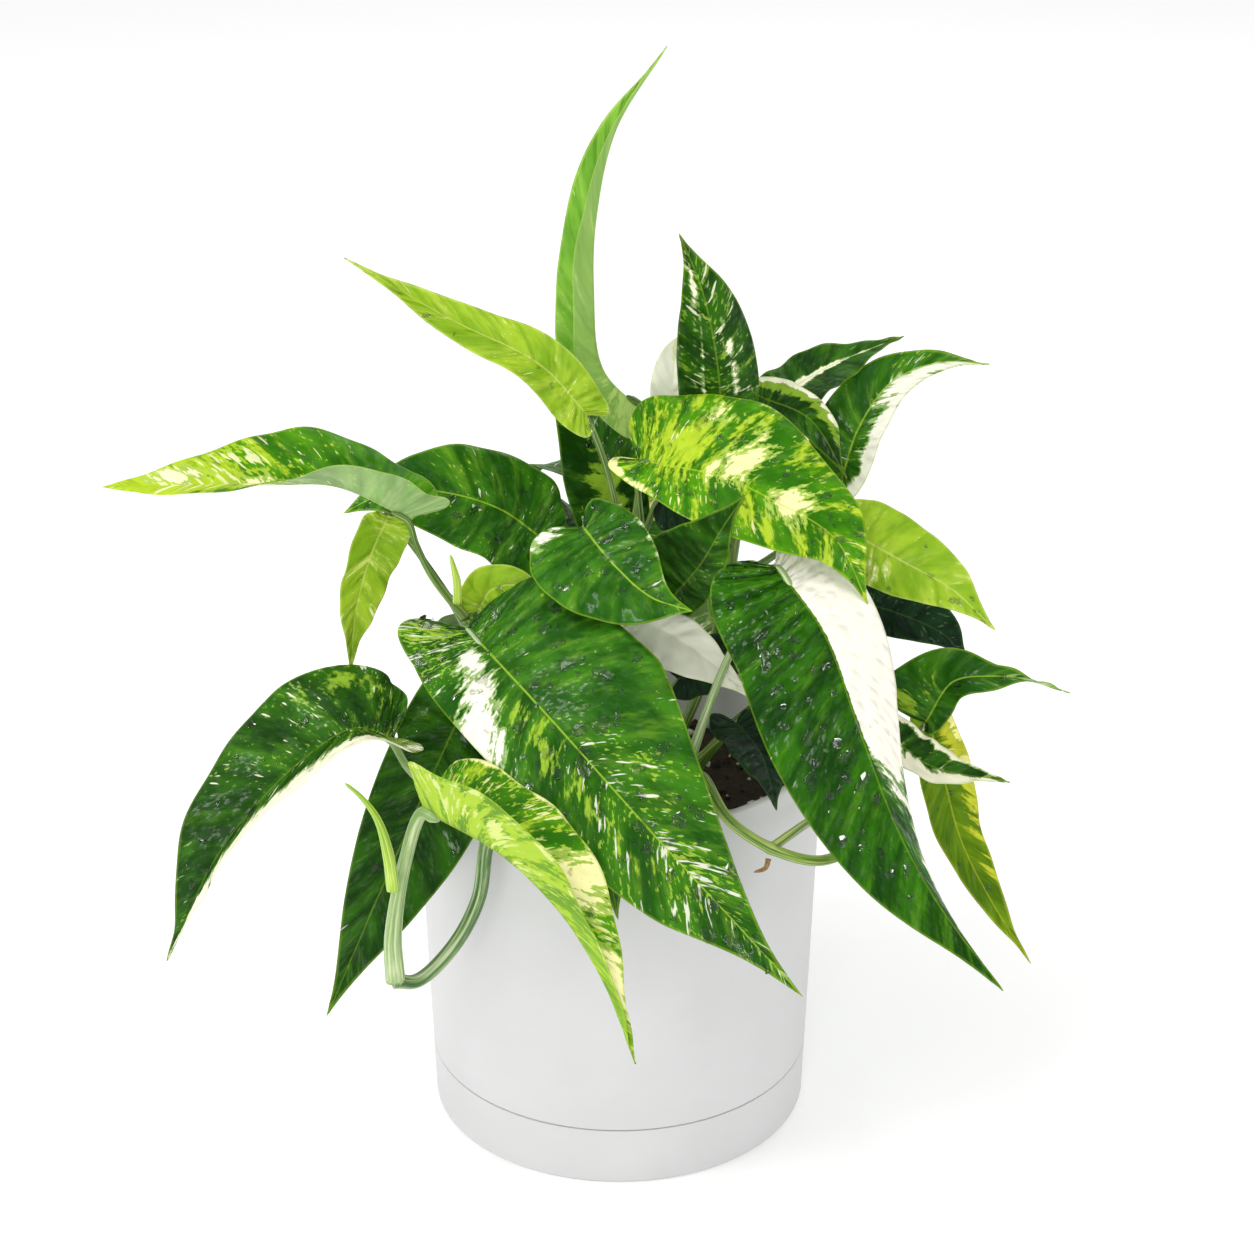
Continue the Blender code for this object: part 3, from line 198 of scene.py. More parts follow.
# A vine's path runs from the soil to its growing end.  Each stalk starts at the numbered point of that path,
# passes its own points and ends under the base of its leaf.
VINES = {
    "vine_front_left": dict(radius=.27, path=((-1.5, -2), (-1.6, -2.4, 13.4), (-2.6, -4.6, 15),
        (-3.5, -6.8, 16.2), (-4.4, -8.5, 15.2), (-4.8, -9, 13), (-5.7, -9.5, 11.4), (-6.9, -10, 10.4),
        (-7.6, -10.3, 10.6)),
        stalks={"front_large": (2, (-3.8, -4.2, 18)), "left_dark": (2, (-4.3, -4.8, 17)), "left_low": (4,
            (-5.6, -9, 16.6), (-7, -8.8, 17.9)), "front_folded": (8, (-7.6, -10.5, 12.5),
            (-7.1, -10.6, 15.4)), "inner_front": (2, (-2.3, -5.2, 16))}),
    "vine_front_right": dict(radius=.2, path=((1.5, -2), (1.6, -2.4, 13.4), (2.3, -4.6, 15.2),
        (2.9, -6.4, 16.4), (3.8, -8.3, 15.7), (5.2, -8.6, 14.8), (6.8, -8.4, 14.2), (8.2, -7.4, 14.1)),
        stalks={"right_hanging": (5, (6.2, -7.4, 14.9), (8.4, -3.2, 14.2), (10.2, .6, 14.3)), "right_large":
            (2, (2.7, -5, 17), (3.5, -5.5, 19.8), (4.3, -5.2, 21.6)), "inner_rim": (1, (2.8, -2.4, 15))}),
    "vine_left": dict(radius=.22, path=((-2.5, -.5), (-3.8, -1.6, 15.5), (-4.6, -2.9, 19),
        (-5.3, -3.3, 21)),
        stalks={"left_long": (3, (-6.4, -3.8, 22.8), (-6.9, -3.9, 24)), "left_small": (1,
            (-4.2, -1.7, 18.5)), "left_hanging": (2, (-6, -2.6, 21.6), (-7.4, -2.9, 24)), "left_middle": (1,
            (-3, -.2, 19))}),
    "vine_centre": dict(radius=.22, path=((-.2, -1), (-.2, -1, 15), (0, -.9, 17.5), (.1, -.7, 19.5)),
        stalks={"upper_left": (3, (0, -1.5, 23.8), (-.5, -1.1, 26)), "right_marbled": (2, (.8, -2, 21.1),
            (.8, -2, 23.8)), "top_upright": (3, (.4, -.2, 22), (.8, .8, 25)), "centre_tall": (2,
            (-.2, .2, 20)), "centre_heart": (1, (-1, -2, 20)), "centre_raised": (2, (1.3, -2, 19.5)),
            "centre_cream": (1, (.4, -2.2, 18.5)), "inner_grey": (1, (1, -.4, 15.8)), "centre_shaded": (3,
            (.8, .6, 22))}),
    "vine_right": dict(radius=.22, path=((2.5, -.5), (4, -.6, 15.3), (5.5, -.8, 16.6), (7.5, -1, 16.8),
        (9.3, -1.2, 15.8)),
        stalks={"right_folded": (4, (10.3, -1, 15)), "right_lime": (2, (7, -.2, 20)), "right_shaded": (2,
            (7.4, 1, 17.8)), "right_small": (3, (8.5, -2.2, 16.4))}),
    "vine_back_right": dict(radius=.22, path=((2, 2), (3.2, 2.6, 16), (4, 2.9, 19.5), (4.4, 3, 22.5)),
        stalks={"upper_cone": (3, (4, 2.6, 24.5)), "upper_cream": (2, (3.2, 3.6, 23)), "back_right_dark":
            (3, (5, 3.8, 24.5)), "back_right_edged": (2, (6.6, 4, 21)), "back_right_banded": (3,
            (4.7, 3.2, 24.8)), "behind_high_right": (2, (4.2, 4.2, 21.6))}),
    "vine_back": dict(radius=.22, path=((0, 2.8), (0, 3.6, 15), (.3, 4.1, 17.5), (.5, 4.1, 19.2)),
        stalks={"behind_left": (1, (-1.6, 4.6, 17)), "behind_centre": (2, (-.4, 5, 18.2)), "behind_upper":
            (3, (.8, 4, 20.2)), "behind_high_left": (3, (-.2, 3.7, 20.8)), "behind_low": (1,
            (-1, 3.2, 14.9)), "behind_near_left": (2, (-.4, 4.4, 18.8)), "behind_near_right": (2,
            (1.8, 4.6, 18.9)), "inner_left": (1, (-1.4, 3, 16.4)), "behind_right": (1, (1.6, 4.8, 16.8)),
            "behind_side": (1, (3.4, 3.8, 17.4))}),
}

# A new leaf still rolled up, a growing point and an air root: plain tapering tubes.
SPROUTS = {
    "shoot_left": dict(
        look="leaf_lime", radii=(.22, .2, .12, .05),
        path=((-7.5, -11.1, 14.6), (-7.6, -11.4, 16.2), (-7.9, -11.5, 17.5), (-8.4, -11.5, 18.3),
              (-8.9, -11.5, 18.8))),
    "shoot_small": dict(
        look="leaf_lime", radii=(.16, .14, .05),
        path=((-5.5, -4.7, 22.2), (-5.5, -4.7, 23), (-5.7, -4.7, 24))),
    "air_root": dict(
        look="root_brown", radii=(.1, .08, .04),
        path=((5.1, -9, 14.6), (5, -9.1, 14.3), (4.6, -9.2, 14.2))),
}


# ---- curves --------------------------------------------------------------------------------------------
def smooth(knots, values, at):
    """Read a smooth curve through the values at the knots."""
    knots = np.asarray(knots, float)
    values = np.asarray(values, float)
    slopes = np.gradient(values, knots, axis=0)
    span = np.clip(np.searchsorted(knots, at, side="right") - 1, 0, len(knots) - 2)
    width = knots[span + 1] - knots[span]
    t = (at - knots[span]) / width
    if values.ndim > 1:
        t = t[:, None]
        width = width[:, None]
    start = (2 * t**3 - 3 * t**2 + 1) * values[span] + (t**3 - 2 * t**2 + t) * width * slopes[span]
    end = (3 * t**2 - 2 * t**3) * values[span + 1] + (t**3 - t**2) * width * slopes[span + 1]
    return start + end


def unit(vectors):
    return vectors / np.maximum(np.linalg.norm(vectors, axis=-1, keepdims=True), 1e-12)


def dense_curve(points):
    """Smooth curve through the points: positions, their share of the length, and the length."""
    points = np.asarray(points, float)
    chords = np.linalg.norm(np.diff(points, axis=0), axis=1)
    knots = np.append(0, np.cumsum(np.sqrt(chords)))
    line = smooth(knots, points, np.linspace(0, knots[-1], CURVE_STEPS))
    travelled = np.append(0, np.cumsum(np.linalg.norm(np.diff(line, axis=0), axis=1)))
    return line, travelled / travelled[-1], travelled[-1]


def both(value):
    """A pair of values for the left and right sides, from a pair or from one value."""
    return value if isinstance(value, tuple) and len(value) == 2 else (value, value)


def spread(value, share):
    """Value at each share of the leaf's length, from one number or a row of numbers."""
    row = np.atleast_1d(np.asarray(value, float))
    return np.interp(share, np.linspace(0, 1, len(row)), row)


def columns_at(rows, shares, at):
    return np.stack([np.interp(at, shares, rows[:, k]) for k in range(3)], -1)


def rib_frame(rib, face, share):
    """Point, forward, upward and rightward directions at each share of the rib."""
    line, travelled, length = dense_curve(rib)
    tangents = unit(np.gradient(line, travelled, axis=0))
    faces = np.atleast_2d(np.asarray(face, float))
    if len(faces) == 1:
        faces = np.repeat(faces, 2, axis=0)
    point = columns_at(line, travelled, share)
    along = unit(columns_at(tangents, travelled, share))
    up = columns_at(faces, np.linspace(0, 1, len(faces)), share)
    up = unit(up - (up * along).sum(-1, keepdims=True) * along)
    return point, along, up, np.cross(along, up), length


# ---- node materials ------------------------------------------------------------------------------------
def tone(red, green, blue):
    """Linear colour of a screen colour given as 0 to 255."""
    share = np.array((red, green, blue)) / 255
    return (*np.where(share <= .04045, share / 12.92, ((share + .055) / 1.055)**2.4), 1)


class Shade:
    """A material and short ways to add nodes to it."""

    def __init__(self, name):
        self.material = bpy.data.materials.new(name)
        self.material.use_nodes = True
        self.tree = self.material.node_tree
        self.shader = self.tree.nodes["Principled BSDF"]

    def plug(self, value, socket):
        if isinstance(value, bpy.types.NodeSocket):
            self.tree.links.new(value, socket)
        else:
            socket.default_value = value

    def add(self, kind, **settings):
        node = self.tree.nodes.new("ShaderNode" + kind)
        for key, value in settings.items():
            setattr(node, key, value)
        return node

    def math(self, operation, first, second):
        node = self.add("Math", operation=operation)
        self.plug(first, node.inputs[0])
        self.plug(second, node.inputs[1])
        return node.outputs[0]

    def times(self, first, second):
        return self.math("MULTIPLY", first, second)

    def plus(self, first, second):
        return self.math("ADD", first, second)

    def minus(self, first, second):
        return self.math("SUBTRACT", first, second)

    def vector(self, x, y, z):
        node = self.add("CombineXYZ")
        for socket, value in zip(node.inputs, (x, y, z)):
            self.plug(value, socket)
        return node.outputs[0]

    def attribute(self, name):
        split = self.add("SeparateXYZ")
        self.tree.links.new(self.add("Attribute", attribute_name=name).outputs["Vector"], split.inputs[0])
        return split.outputs

    def noise(self, vector, scale, detail=3.0, roughness=.5):
        node = self.add("TexNoise")
        self.plug(vector, node.inputs["Vector"])
        self.plug(float(scale), node.inputs["Scale"])
        self.plug(float(detail), node.inputs["Detail"])
        self.plug(float(roughness), node.inputs["Roughness"])
        return node.outputs["Fac"]

    def step(self, value, low, high, bottom=0.0, top=1.0):
        """Smooth step of a value from bottom at low to top at high."""
        node = self.add("MapRange", interpolation_type="SMOOTHSTEP")
        for socket, setting in zip(node.inputs, (value, low, high, bottom, top)):
            self.plug(setting, socket)
        return node.outputs[0]

    def mix(self, share, first, second):
        node = self.add("Mix", data_type="RGBA")
        self.plug(share, node.inputs["Factor"])
        self.plug(first, node.inputs[6])
        self.plug(second, node.inputs[7])
        return node.outputs[2]

    def bump(self, height, strength, distance):
        node = self.add("Bump")
        node.inputs["Strength"].default_value = strength
        node.inputs["Distance"].default_value = distance
        self.plug(height, node.inputs["Height"])
        self.plug(node.outputs[0], self.shader.inputs["Normal"])

    def surface(self, **values):
        for key, value in values.items():
            self.plug(value, self.shader.inputs[key.replace("_", " ")])
        return self.material


MID, WET, VEIL = 1, 8, 9

# A kind of leaf: its deep, mid and bright green, yellow green, cream and the grey green beside it; how strong
# its mottling and its rib line are, how wet it is, and the veil over its underside.
STYLES = {
    "blue_green": ((28, 80, 8), (58, 118, 18), (112, 160, 40), (152, 188, 50), (244, 242, 224),
        (150, 180, 108), .55, .75, .5, (180, 202, 132)),
    "dark": ((18, 56, 4), (44, 96, 10), (80, 132, 26), (132, 168, 44), (240, 237, 208), (132, 160, 90), .5,
        .35, .45, (180, 202, 132)),
    "green": ((42, 104, 4), (78, 144, 8), (122, 172, 24), (174, 202, 44), (244, 239, 170), (164, 192, 80),
        .6, .5, .4, (176, 192, 84)),
    "arm": ((42, 104, 4), (78, 144, 8), (122, 172, 24), (174, 202, 44), (244, 240, 190), (164, 192, 80), .6,
        .5, .3, (255, 255, 236)),
    "lime": ((126, 168, 30), (160, 194, 46), (186, 208, 80), (208, 220, 120), (242, 242, 190),
        (184, 206, 96), .5, .5, .25, (196, 212, 120)),
    "olive": ((70, 108, 0), (102, 138, 6), (138, 166, 20), (196, 200, 50), (248, 242, 150), (176, 186, 60),
        .6, .4, .25, (180, 202, 132)),
    "cream": ((238, 234, 190), (246, 242, 210), (250, 247, 220), (232, 230, 160), (253, 251, 236),
        (226, 228, 180), .3, .25, .15, (180, 202, 132)),
    "pale": ((94, 150, 38), (124, 174, 58), (156, 196, 82), (184, 210, 108), (234, 234, 180),
        (176, 204, 124), .5, .5, .15, (180, 202, 132)),
    # shadow: painted shade, darker and greyer copies of the leaf greens for the leaves deep inside the plant.
    "shadow": ((10, 30, 16), (22, 52, 26), (44, 76, 42), (72, 102, 50), (150, 160, 130), (76, 100, 70), .3,
        .3, .2, (180, 202, 132)),
    "bicolour": ((14, 58, 0), (40, 98, 2), (84, 142, 16), (130, 168, 30), (248, 244, 228), (132, 164, 100),
        .65, .35, .5, (180, 202, 132)),
}


# Noises over a blade: stretch across and along it, shift of its seed, scale, detail, roughness.
STREAKS = (.42, 1.7, 0, 1.5, 6, .62)
BLOTCHES = (.7, 1, 7.3, .85, 4, .55)
GRAIN = (2.2, 4.0, 3.1, 2.3, 4, .6)
SPECKS = (.7, 4.0, 11.7, 2.0, 2, .5)


def blade_noise(shade, place, across_by, along_by, shift, scale, detail, roughness):
    across, along, seed = place
    spot = shade.vector(shade.times(across, across_by), shade.times(along, along_by), shade.plus(seed, shift))
    return shade.noise(spot, scale, detail, roughness)


def leaf_colour(shade, style):
    """Marbled colour of a blade from its own coordinates, in centimetres across and along it, with painted
    shade in the grooves along its veins.
    """
    *tones, mottle, rib_line, _, _ = style
    deep, mid, bright, yellow, white, grey = (tone(*screen) for screen in tones)
    place = shade.attribute("blade")
    cream, lime, fleck = shade.attribute("paint")
    rib, groove_shade, edge = shade.attribute("trace")
    streak = blade_noise(shade, place, *STREAKS)
    blotch = blade_noise(shade, place, *BLOTCHES)
    fine = blade_noise(shade, place, *GRAIN)
    jagged = shade.plus(shade.times(shade.minus(streak, .5), 1.5), shade.times(shade.minus(fine, .5), .5))
    crowd = shade.plus(shade.times(fleck, .2), shade.times(shade.minus(blotch, .5), .45))
    creamy = shade.plus(cream, jagged)
    # The second layer is painted shade: deep green darkens the grooves along the side veins, where shade
    # falls between the swells.
    layers = ((shade.step(streak, .48, .72, 0, mottle), bright), (shade.step(groove_shade, .30, .95, 0, .85), deep),
              (shade.step(shade.plus(lime, jagged), .42, .62), yellow),
              (shade.step(shade.plus(fine, crowd), .73, .79, 0, .8), yellow),
              (shade.step(shade.plus(crowd, blade_noise(shade, place, *SPECKS)), .79, .84, 0, .75), white),
              (shade.step(creamy, .36, .44, 0, .9), grey), (shade.step(creamy, .50, .55), white),
              (shade.step(edge, .02, .07, .35, 0), yellow), (shade.step(rib, .03, .08, rib_line, 0), yellow))
    colour = shade.mix(shade.step(blotch, .36, .62), deep, mid)
    for share, over in layers:
        colour = shade.mix(share, colour, over)
    return colour, streak, fine


def blade_cells(shade):
    """Small swells between the finest veins of a blade."""
    across, along, seed = shade.attribute("blade")
    cells = shade.add("TexVoronoi", feature="SMOOTH_F1")
    shade.plug(shade.vector(shade.times(across, 1.5), shade.times(along, 2.6), seed), cells.inputs["Vector"])
    cells.inputs["Scale"].default_value = 1.2
    cells.inputs["Smoothness"].default_value = .6
    return shade.times(cells.outputs["Distance"], -1.0)


def leaf_material(kind, style):
    shade = Shade("leaf_" + kind)
    colour, streak, fine = leaf_colour(shade, style)
    shade.bump(shade.plus(shade.times(streak, .25), blade_cells(shade)), .9, .0020)
    return shade.surface(Base_Color=colour, Roughness=shade.step(fine, .35, .65, .34, .46),
                         Coat_Weight=shade.step(fine, .50, .62, .02, style[WET]), Coat_Roughness=.12,
                         Specular_IOR_Level=.06)


def underside_material(kind, style):
    """The same marbling seen from below: paler, greyer and duller."""
    shade = Shade("leaf_" + kind + "_underside")
    colour, streak, fine = leaf_colour(shade, style)
    veil = tone(*(np.array(style[MID]) * .35 + np.array(style[VEIL]) * .65))
    shade.bump(blade_cells(shade), .5, .0008)
    return shade.surface(Base_Color=shade.mix(shade.step(streak, .3, .7, .32, .58), colour, veil),
                         Roughness=shade.step(fine, .35, .65, .5, .62), Specular_IOR_Level=.15)


def stem_material(kind, dark, green, pale):
    shade = Shade(kind)
    round_x, round_y, along = shade.attribute("stem")
    stripe = shade.noise(shade.vector(shade.times(round_x, 1.5), shade.times(round_y, 1.5),
                                      shade.times(along, .16)), 1.7, 4, .6)
    cloud = shade.noise(shade.vector(round_x, round_y, shade.times(along, .9)), .8, 3)
    colour = shade.mix(shade.step(stripe, .38, .54), tone(*dark), tone(*green))
    colour = shade.mix(shade.step(stripe, .52, .64, 0, .9), colour, tone(*pale))
    colour = shade.mix(shade.step(cloud, .5, .75, 0, .5), colour, tone(*pale))
    shade.bump(stripe, .5, .0006)
    return shade.surface(Base_Color=colour, Roughness=shade.step(cloud, .3, .7, .34, .5), Coat_Weight=.15,
                         Coat_Roughness=.2)


def object_noise(shade, scale, detail=3.0, roughness=.5):
    place = shade.add("TexCoord").outputs["Object"]
    return shade.noise(place, scale, detail, roughness)


def plastic_material():
    """Matte moulded plastic: a fine even grain and a faint unevenness in its sheen."""
    shade = Shade("white_moulded_plastic")
    grain = object_noise(shade, 1400, 3, .6)
    cloud = object_noise(shade, 22, 3, .5)
    shade.bump(grain, .10, .0002)
    colour = shade.mix(shade.step(cloud, .3, .7), tone(197, 197, 197), tone(202, 202, 202))
    return shade.surface(Base_Color=colour, Roughness=shade.step(cloud, .3, .7, .46, .56),
                         Specular_IOR_Level=.4)


def soil_material():
    shade = Shade("potting_mix")
    lump = object_noise(shade, 260, 5, .7)
    crumb = object_noise(shade, 900, 4, .6)
    colour = shade.mix(shade.step(lump, .35, .65), tone(26, 19, 14), tone(66, 48, 34))
    colour = shade.mix(shade.step(crumb, .62, .72, 0, .6), colour, tone(118, 92, 66))
    shade.bump(crumb, .9, .0012)
    return shade.surface(Base_Color=colour, Roughness=shade.step(lump, .3, .7, .8, .97))


def perlite_material():
    shade = Shade("perlite")
    crumb = object_noise(shade, 1200, 4, .6)
    shade.bump(crumb, .6, .0006)
    colour = shade.mix(shade.step(crumb, .35, .7), tone(206, 200, 186), tone(236, 234, 226))
    return shade.surface(Base_Color=colour, Roughness=shade.step(crumb, .3, .7, .8, .95))


def root_material():
    shade = Shade("root_bark")
    round_x, round_y, along = shade.attribute("stem")
    grain = shade.noise(shade.vector(round_x, round_y, shade.times(along, 2.5)), 3, 4, .6)
    shade.bump(grain, .7, .0008)
    colour = shade.mix(shade.step(grain, .35, .65), tone(104, 74, 40), tone(178, 142, 92))
    return shade.surface(Base_Color=colour, Roughness=shade.step(grain, .3, .7, .7, .9))


def water_material():
    shade = Shade("water")
    ripple = object_noise(shade, 900, 2)
    shade.bump(ripple, .05, .0002)
    colour = shade.mix(ripple, (.97, 1, .97, 1), (1, 1, 1, 1))
    return shade.surface(Base_Color=colour, Roughness=.03, IOR=1.333, Transmission_Weight=1.0)


# ---- meshes --------------------------------------------------------------------------------------------
def add_piece(name, vertices, faces, materials, replaces=None, indices=None, attributes=None):
    """A mesh piece on the root body; vertices are in centimetres."""
    mesh = bpy.data.meshes.new(name)
    mesh.from_pydata((np.asarray(vertices, float) * CM).tolist(), [], faces)
    for key, values in (attributes or {}).items():
        layer = mesh.attributes.new(key, "FLOAT_VECTOR", "POINT")
        layer.data.foreach_set("vector", np.asarray(values, np.float32).ravel())
    for item in materials:
        mesh.materials.append(item)
    if indices is not None:
        mesh.polygons.foreach_set("material_index", indices)
    mesh.shade_smooth()
    mesh.update()
    piece = bpy.data.objects.new(name, mesh)
    bpy.context.scene.collection.objects.link(piece)
    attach(piece, "root")
    if replaces:
        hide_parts(replaces)
    return piece


def blade_grid(spec, relief, rows, columns):
    """Points of a blade and, for each, its distance from the rib and half width, in centimetres."""
    half, fold, curl = both(spec["half"]), both(spec.get("fold", 10)), both(spec.get("curl", 0))
    lobe, heel = both(spec.get("lobe", 1)), np.radians(spec.get("heel", 15))
    station = np.linspace(0, 1, rows)
    margin_across = np.maximum(smooth(MARGIN_STATION, MARGIN_ACROSS, station), 0)
    vein_start = smooth(MARGIN_STATION, VEIN_START, station)
    shape = (rows, 2 * columns + 1)
    grid, reaches, halves = np.zeros((*shape, 3)), np.zeros(shape), np.zeros(shape)
    for column in range(-columns, columns + 1):
        side = 1 if column > 0 else 0
        sign = 1 if column > 0 else -1
        out = abs(column) / columns
        lobed = [a * lobe[side] if a < 0 else a for a in MARGIN_ALONG]
        margin_along = smooth(MARGIN_STATION, lobed, station)
        share = vein_start + (margin_along - vein_start) * out**VEIN_BOW
        inside = np.clip(share, 0, 1)
        point, along, up, right, length = rib_frame(spec["rib"], spec["face"], inside)
        behind = np.minimum(share, 0)[:, None] * length
        point = point + behind * (along * np.cos(heel) - up * np.sin(heel))
        width = spread(half[side], station)
        reach = margin_across * out * width
        start = np.radians(spread(fold[side], inside))
        bend = np.radians(spread(curl[side], inside)) / width
        bend = np.where(np.abs(bend) < FLAT_BEND, FLAT_BEND, bend)
        outward = (np.sin(start + bend * reach) - np.sin(start)) / bend
        lift = -(np.cos(start + bend * reach) - np.cos(start)) / bend
        lift = lift + relief(station, out, side, reach)
        grid[:, column + columns] = point + right * (sign * outward)[:, None] + up * lift[:, None]
        reaches[:, column + columns] = sign * reach
        halves[:, column + columns] = margin_across * width
    return grid, station, reaches, halves, length


def quilting(spec, station, out, side):
    """Height of the swells between side veins, from 0 along the veins to 1, broken into cells across the
    blade; the painted shade in the grooves is read from it too.
    """
    lane, cells = spec.get("veins", 9) * station + .5 * side, spec.get("cells", 2.5)
    swell = np.abs(np.sin(np.pi * lane))**.7
    cell = np.abs(np.sin(np.pi * (cells * out + .5 * np.floor(lane) + .2 * np.sin(5 * lane))))**.8
    return swell * (.55 + .45 * cell)


RIPPLES = 3


def relief_of(spec, seed):
    """Surface relief of a blade: swells between side veins, a groove at the rib, a rippled margin."""
    swell, ripple = spec.get("swell", .035), spec.get("ripple", .10)
    phase = np.random.RandomState(seed).uniform(0, 2 * np.pi, 4)

    def relief(station, out, side, reach):
        taper = np.sin(np.pi * np.clip(station, 0, 1))**.5
        window = np.clip(out / .15, 0, 1) * np.clip((1 - out) / .12, 0, 1)
        quilt = quilting(spec, station, out, side) - .6
        margin = np.sin(2 * np.pi * RIPPLES * station + phase[side])
        margin = margin + .5 * np.sin(2 * np.pi * RIPPLES * 2.3 * station + phase[2 + side])
        groove = -.030 * np.exp(-(reach / .09)**2) * (1 - .6 * station)
        return taper * (swell * window * quilt + ripple * margin * out**3) + groove

    return relief


def grid_normals(grid):
    """Unit normals on the upper side of a blade's grid."""
    down = np.gradient(grid, axis=0)
    over = np.gradient(grid, axis=1)
    normal = np.cross(over, down)
    middle = grid.shape[1] // 2
    normal[0] = normal[2, middle]
    normal[-1] = normal[-3, middle]
    return unit(normal)


SHARP_EDGE = 30
LEAST_PAINT = (("cream", 0), ("lime", .1), ("fleck", .3))
SEED_STEP = 13.7


def patch_values(patches, station, out, kind):
    """Highest of the oval patches of a kind: 1 in the middle, half at the edge, then 0."""
    value = np.zeros(np.broadcast(station, out).shape)
    for name, along, across, long, wide, *level in patches:
        far = np.sqrt(((station - along) / long)**2 + ((out - across) / wide)**2)
        if name == kind:
            value = np.maximum(value, np.clip(1 - .5 * far, 0, 1) * (level[0] if level else 1))
        elif name == kind + "_half":
            half = np.clip(SHARP_EDGE * (np.sign(across) * out - .02) + .5, -1, 2)
            value = np.maximum(value, np.minimum(half, np.clip(3 - 2.5 * far, -1, 2)))
    return value


def blade_faces(rows, columns, offset, flip):
    """Faces of one side of a blade: a fan at its base, strips, and a fan at its tip."""
    faces = []
    last = offset + 1 + (rows - 2) * columns
    for column in range(columns - 1):
        faces.append((offset, offset + 2 + column, offset + 1 + column))
        for row in range(rows - 3):
            low = offset + 1 + row * columns + column
            faces.append((low, low + 1, low + columns + 1, low + columns))
        top = offset + 1 + (rows - 3) * columns + column
        faces.append((top, top + 1, last))
    return [face[::-1] for face in faces] if flip else faces


def blade_rim(rows, columns, count):
    """Faces that join the upper side to the lower one, round the margin."""
    left = [0] + [1 + row * columns for row in range(rows - 2)] + [count - 1]
    right = [0] + [columns + row * columns for row in range(rows - 2)] + [count - 1]
    faces = []
    for near, far in zip(left[:-1], left[1:]):
        faces.append((near, far, far + count, near + count))
    for near, far in zip(right[:-1], right[1:]):
        faces.append((far, near, near + count, far + count))
    return faces


def bands(start, rings, sides):
    """Faces between rings of the same number of sides that follow each other."""
    return [(low + step, low + (step + 1) % sides, low + sides + (step + 1) % sides, low + sides + step)
            for low in range(start, start + (rings - 1) * sides, sides) for step in range(sides)]


def flat(values):
    """The blade's values with one vertex for its base and one for its tip."""
    middle = values.shape[1] // 2
    inner = values[1:-1].reshape(-1, *values.shape[2:])
    return np.concatenate([values[:1, middle], inner, values[-1:, middle]])


def add_leaf(name, spec, seed):
    look = spec.get("look", "dark")
    rows, columns = spec.get("rows", BLADE_ROWS), spec.get("columns", BLADE_COLUMNS)
    grid, station, reach, half, length = blade_grid(spec, relief_of(spec, seed), rows, columns)
    normal = grid_normals(grid)
    stations = np.repeat(station[:, None], grid.shape[1], axis=1)
    out = np.linspace(-1, 1, grid.shape[1])[None, :]
    paint = np.stack([np.maximum(patch_values(spec.get("patches", ()), stations, out, kind),
                                 spec.get(kind, least)) for kind, least in LEAST_PAINT], -1)
    blade = np.stack([reach, stations * length, np.full(reach.shape, seed * SEED_STEP)], -1)
    # Mask for the painted shade: 1 in the grooves along the side veins, 0 on the tops of the swells.
    groove_shade = 1 - quilting(spec, stations, np.abs(out) * np.ones_like(stations), out > 0)
    rib_distance = np.abs(reach) * (1 + 1.2 * stations)
    trace = np.stack([rib_distance, groove_shade, half - np.abs(reach)], -1)
    thick = BLADE_THICKNESS * (.35 + .65 * (1 - np.abs(out)**6)) * np.ones_like(reach)
    ridge = .055 * np.exp(-(reach / .07)**2) * (1 - .8 * stations)
    top = flat(grid + normal * (thick / 2)[..., None])
    under = flat(grid - normal * (thick / 2 + ridge)[..., None])
    rows, columns = grid.shape[:2]
    count = len(top)
    upper = blade_faces(rows, columns, 0, False)
    lower = blade_faces(rows, columns, count, True)
    rim = blade_rim(rows, columns, count)
    indices = [0] * len(upper) + [1] * len(lower) + [0] * len(rim)
    attributes = {key: np.concatenate([flat(values)] * 2)
                  for key, values in (("blade", blade), ("paint", paint), ("trace", trace))}
    add_piece("blade_" + name, np.concatenate([top, under]), upper + lower + rim,
              LEAF_SKINS[spec.get("style", look)],
              replaces="leaf_" + name, indices=indices, attributes=attributes)
    if "drops" in spec:
        add_drops(name, grid + normal * (thick / 2)[..., None], normal, spec, seed)


# ---- water drops ---------------------------------------------------------------------------------------
DROP_PROFILE = ((1, 0), (.93, .42), (.70, .80), (.38, .96))
DROP_SIDES = 12
DROP_LEAST, DROP_GROWTH = .032, .190
DROP_SMALL = .05
DROP_SINK = .004
STEEPEST = .12

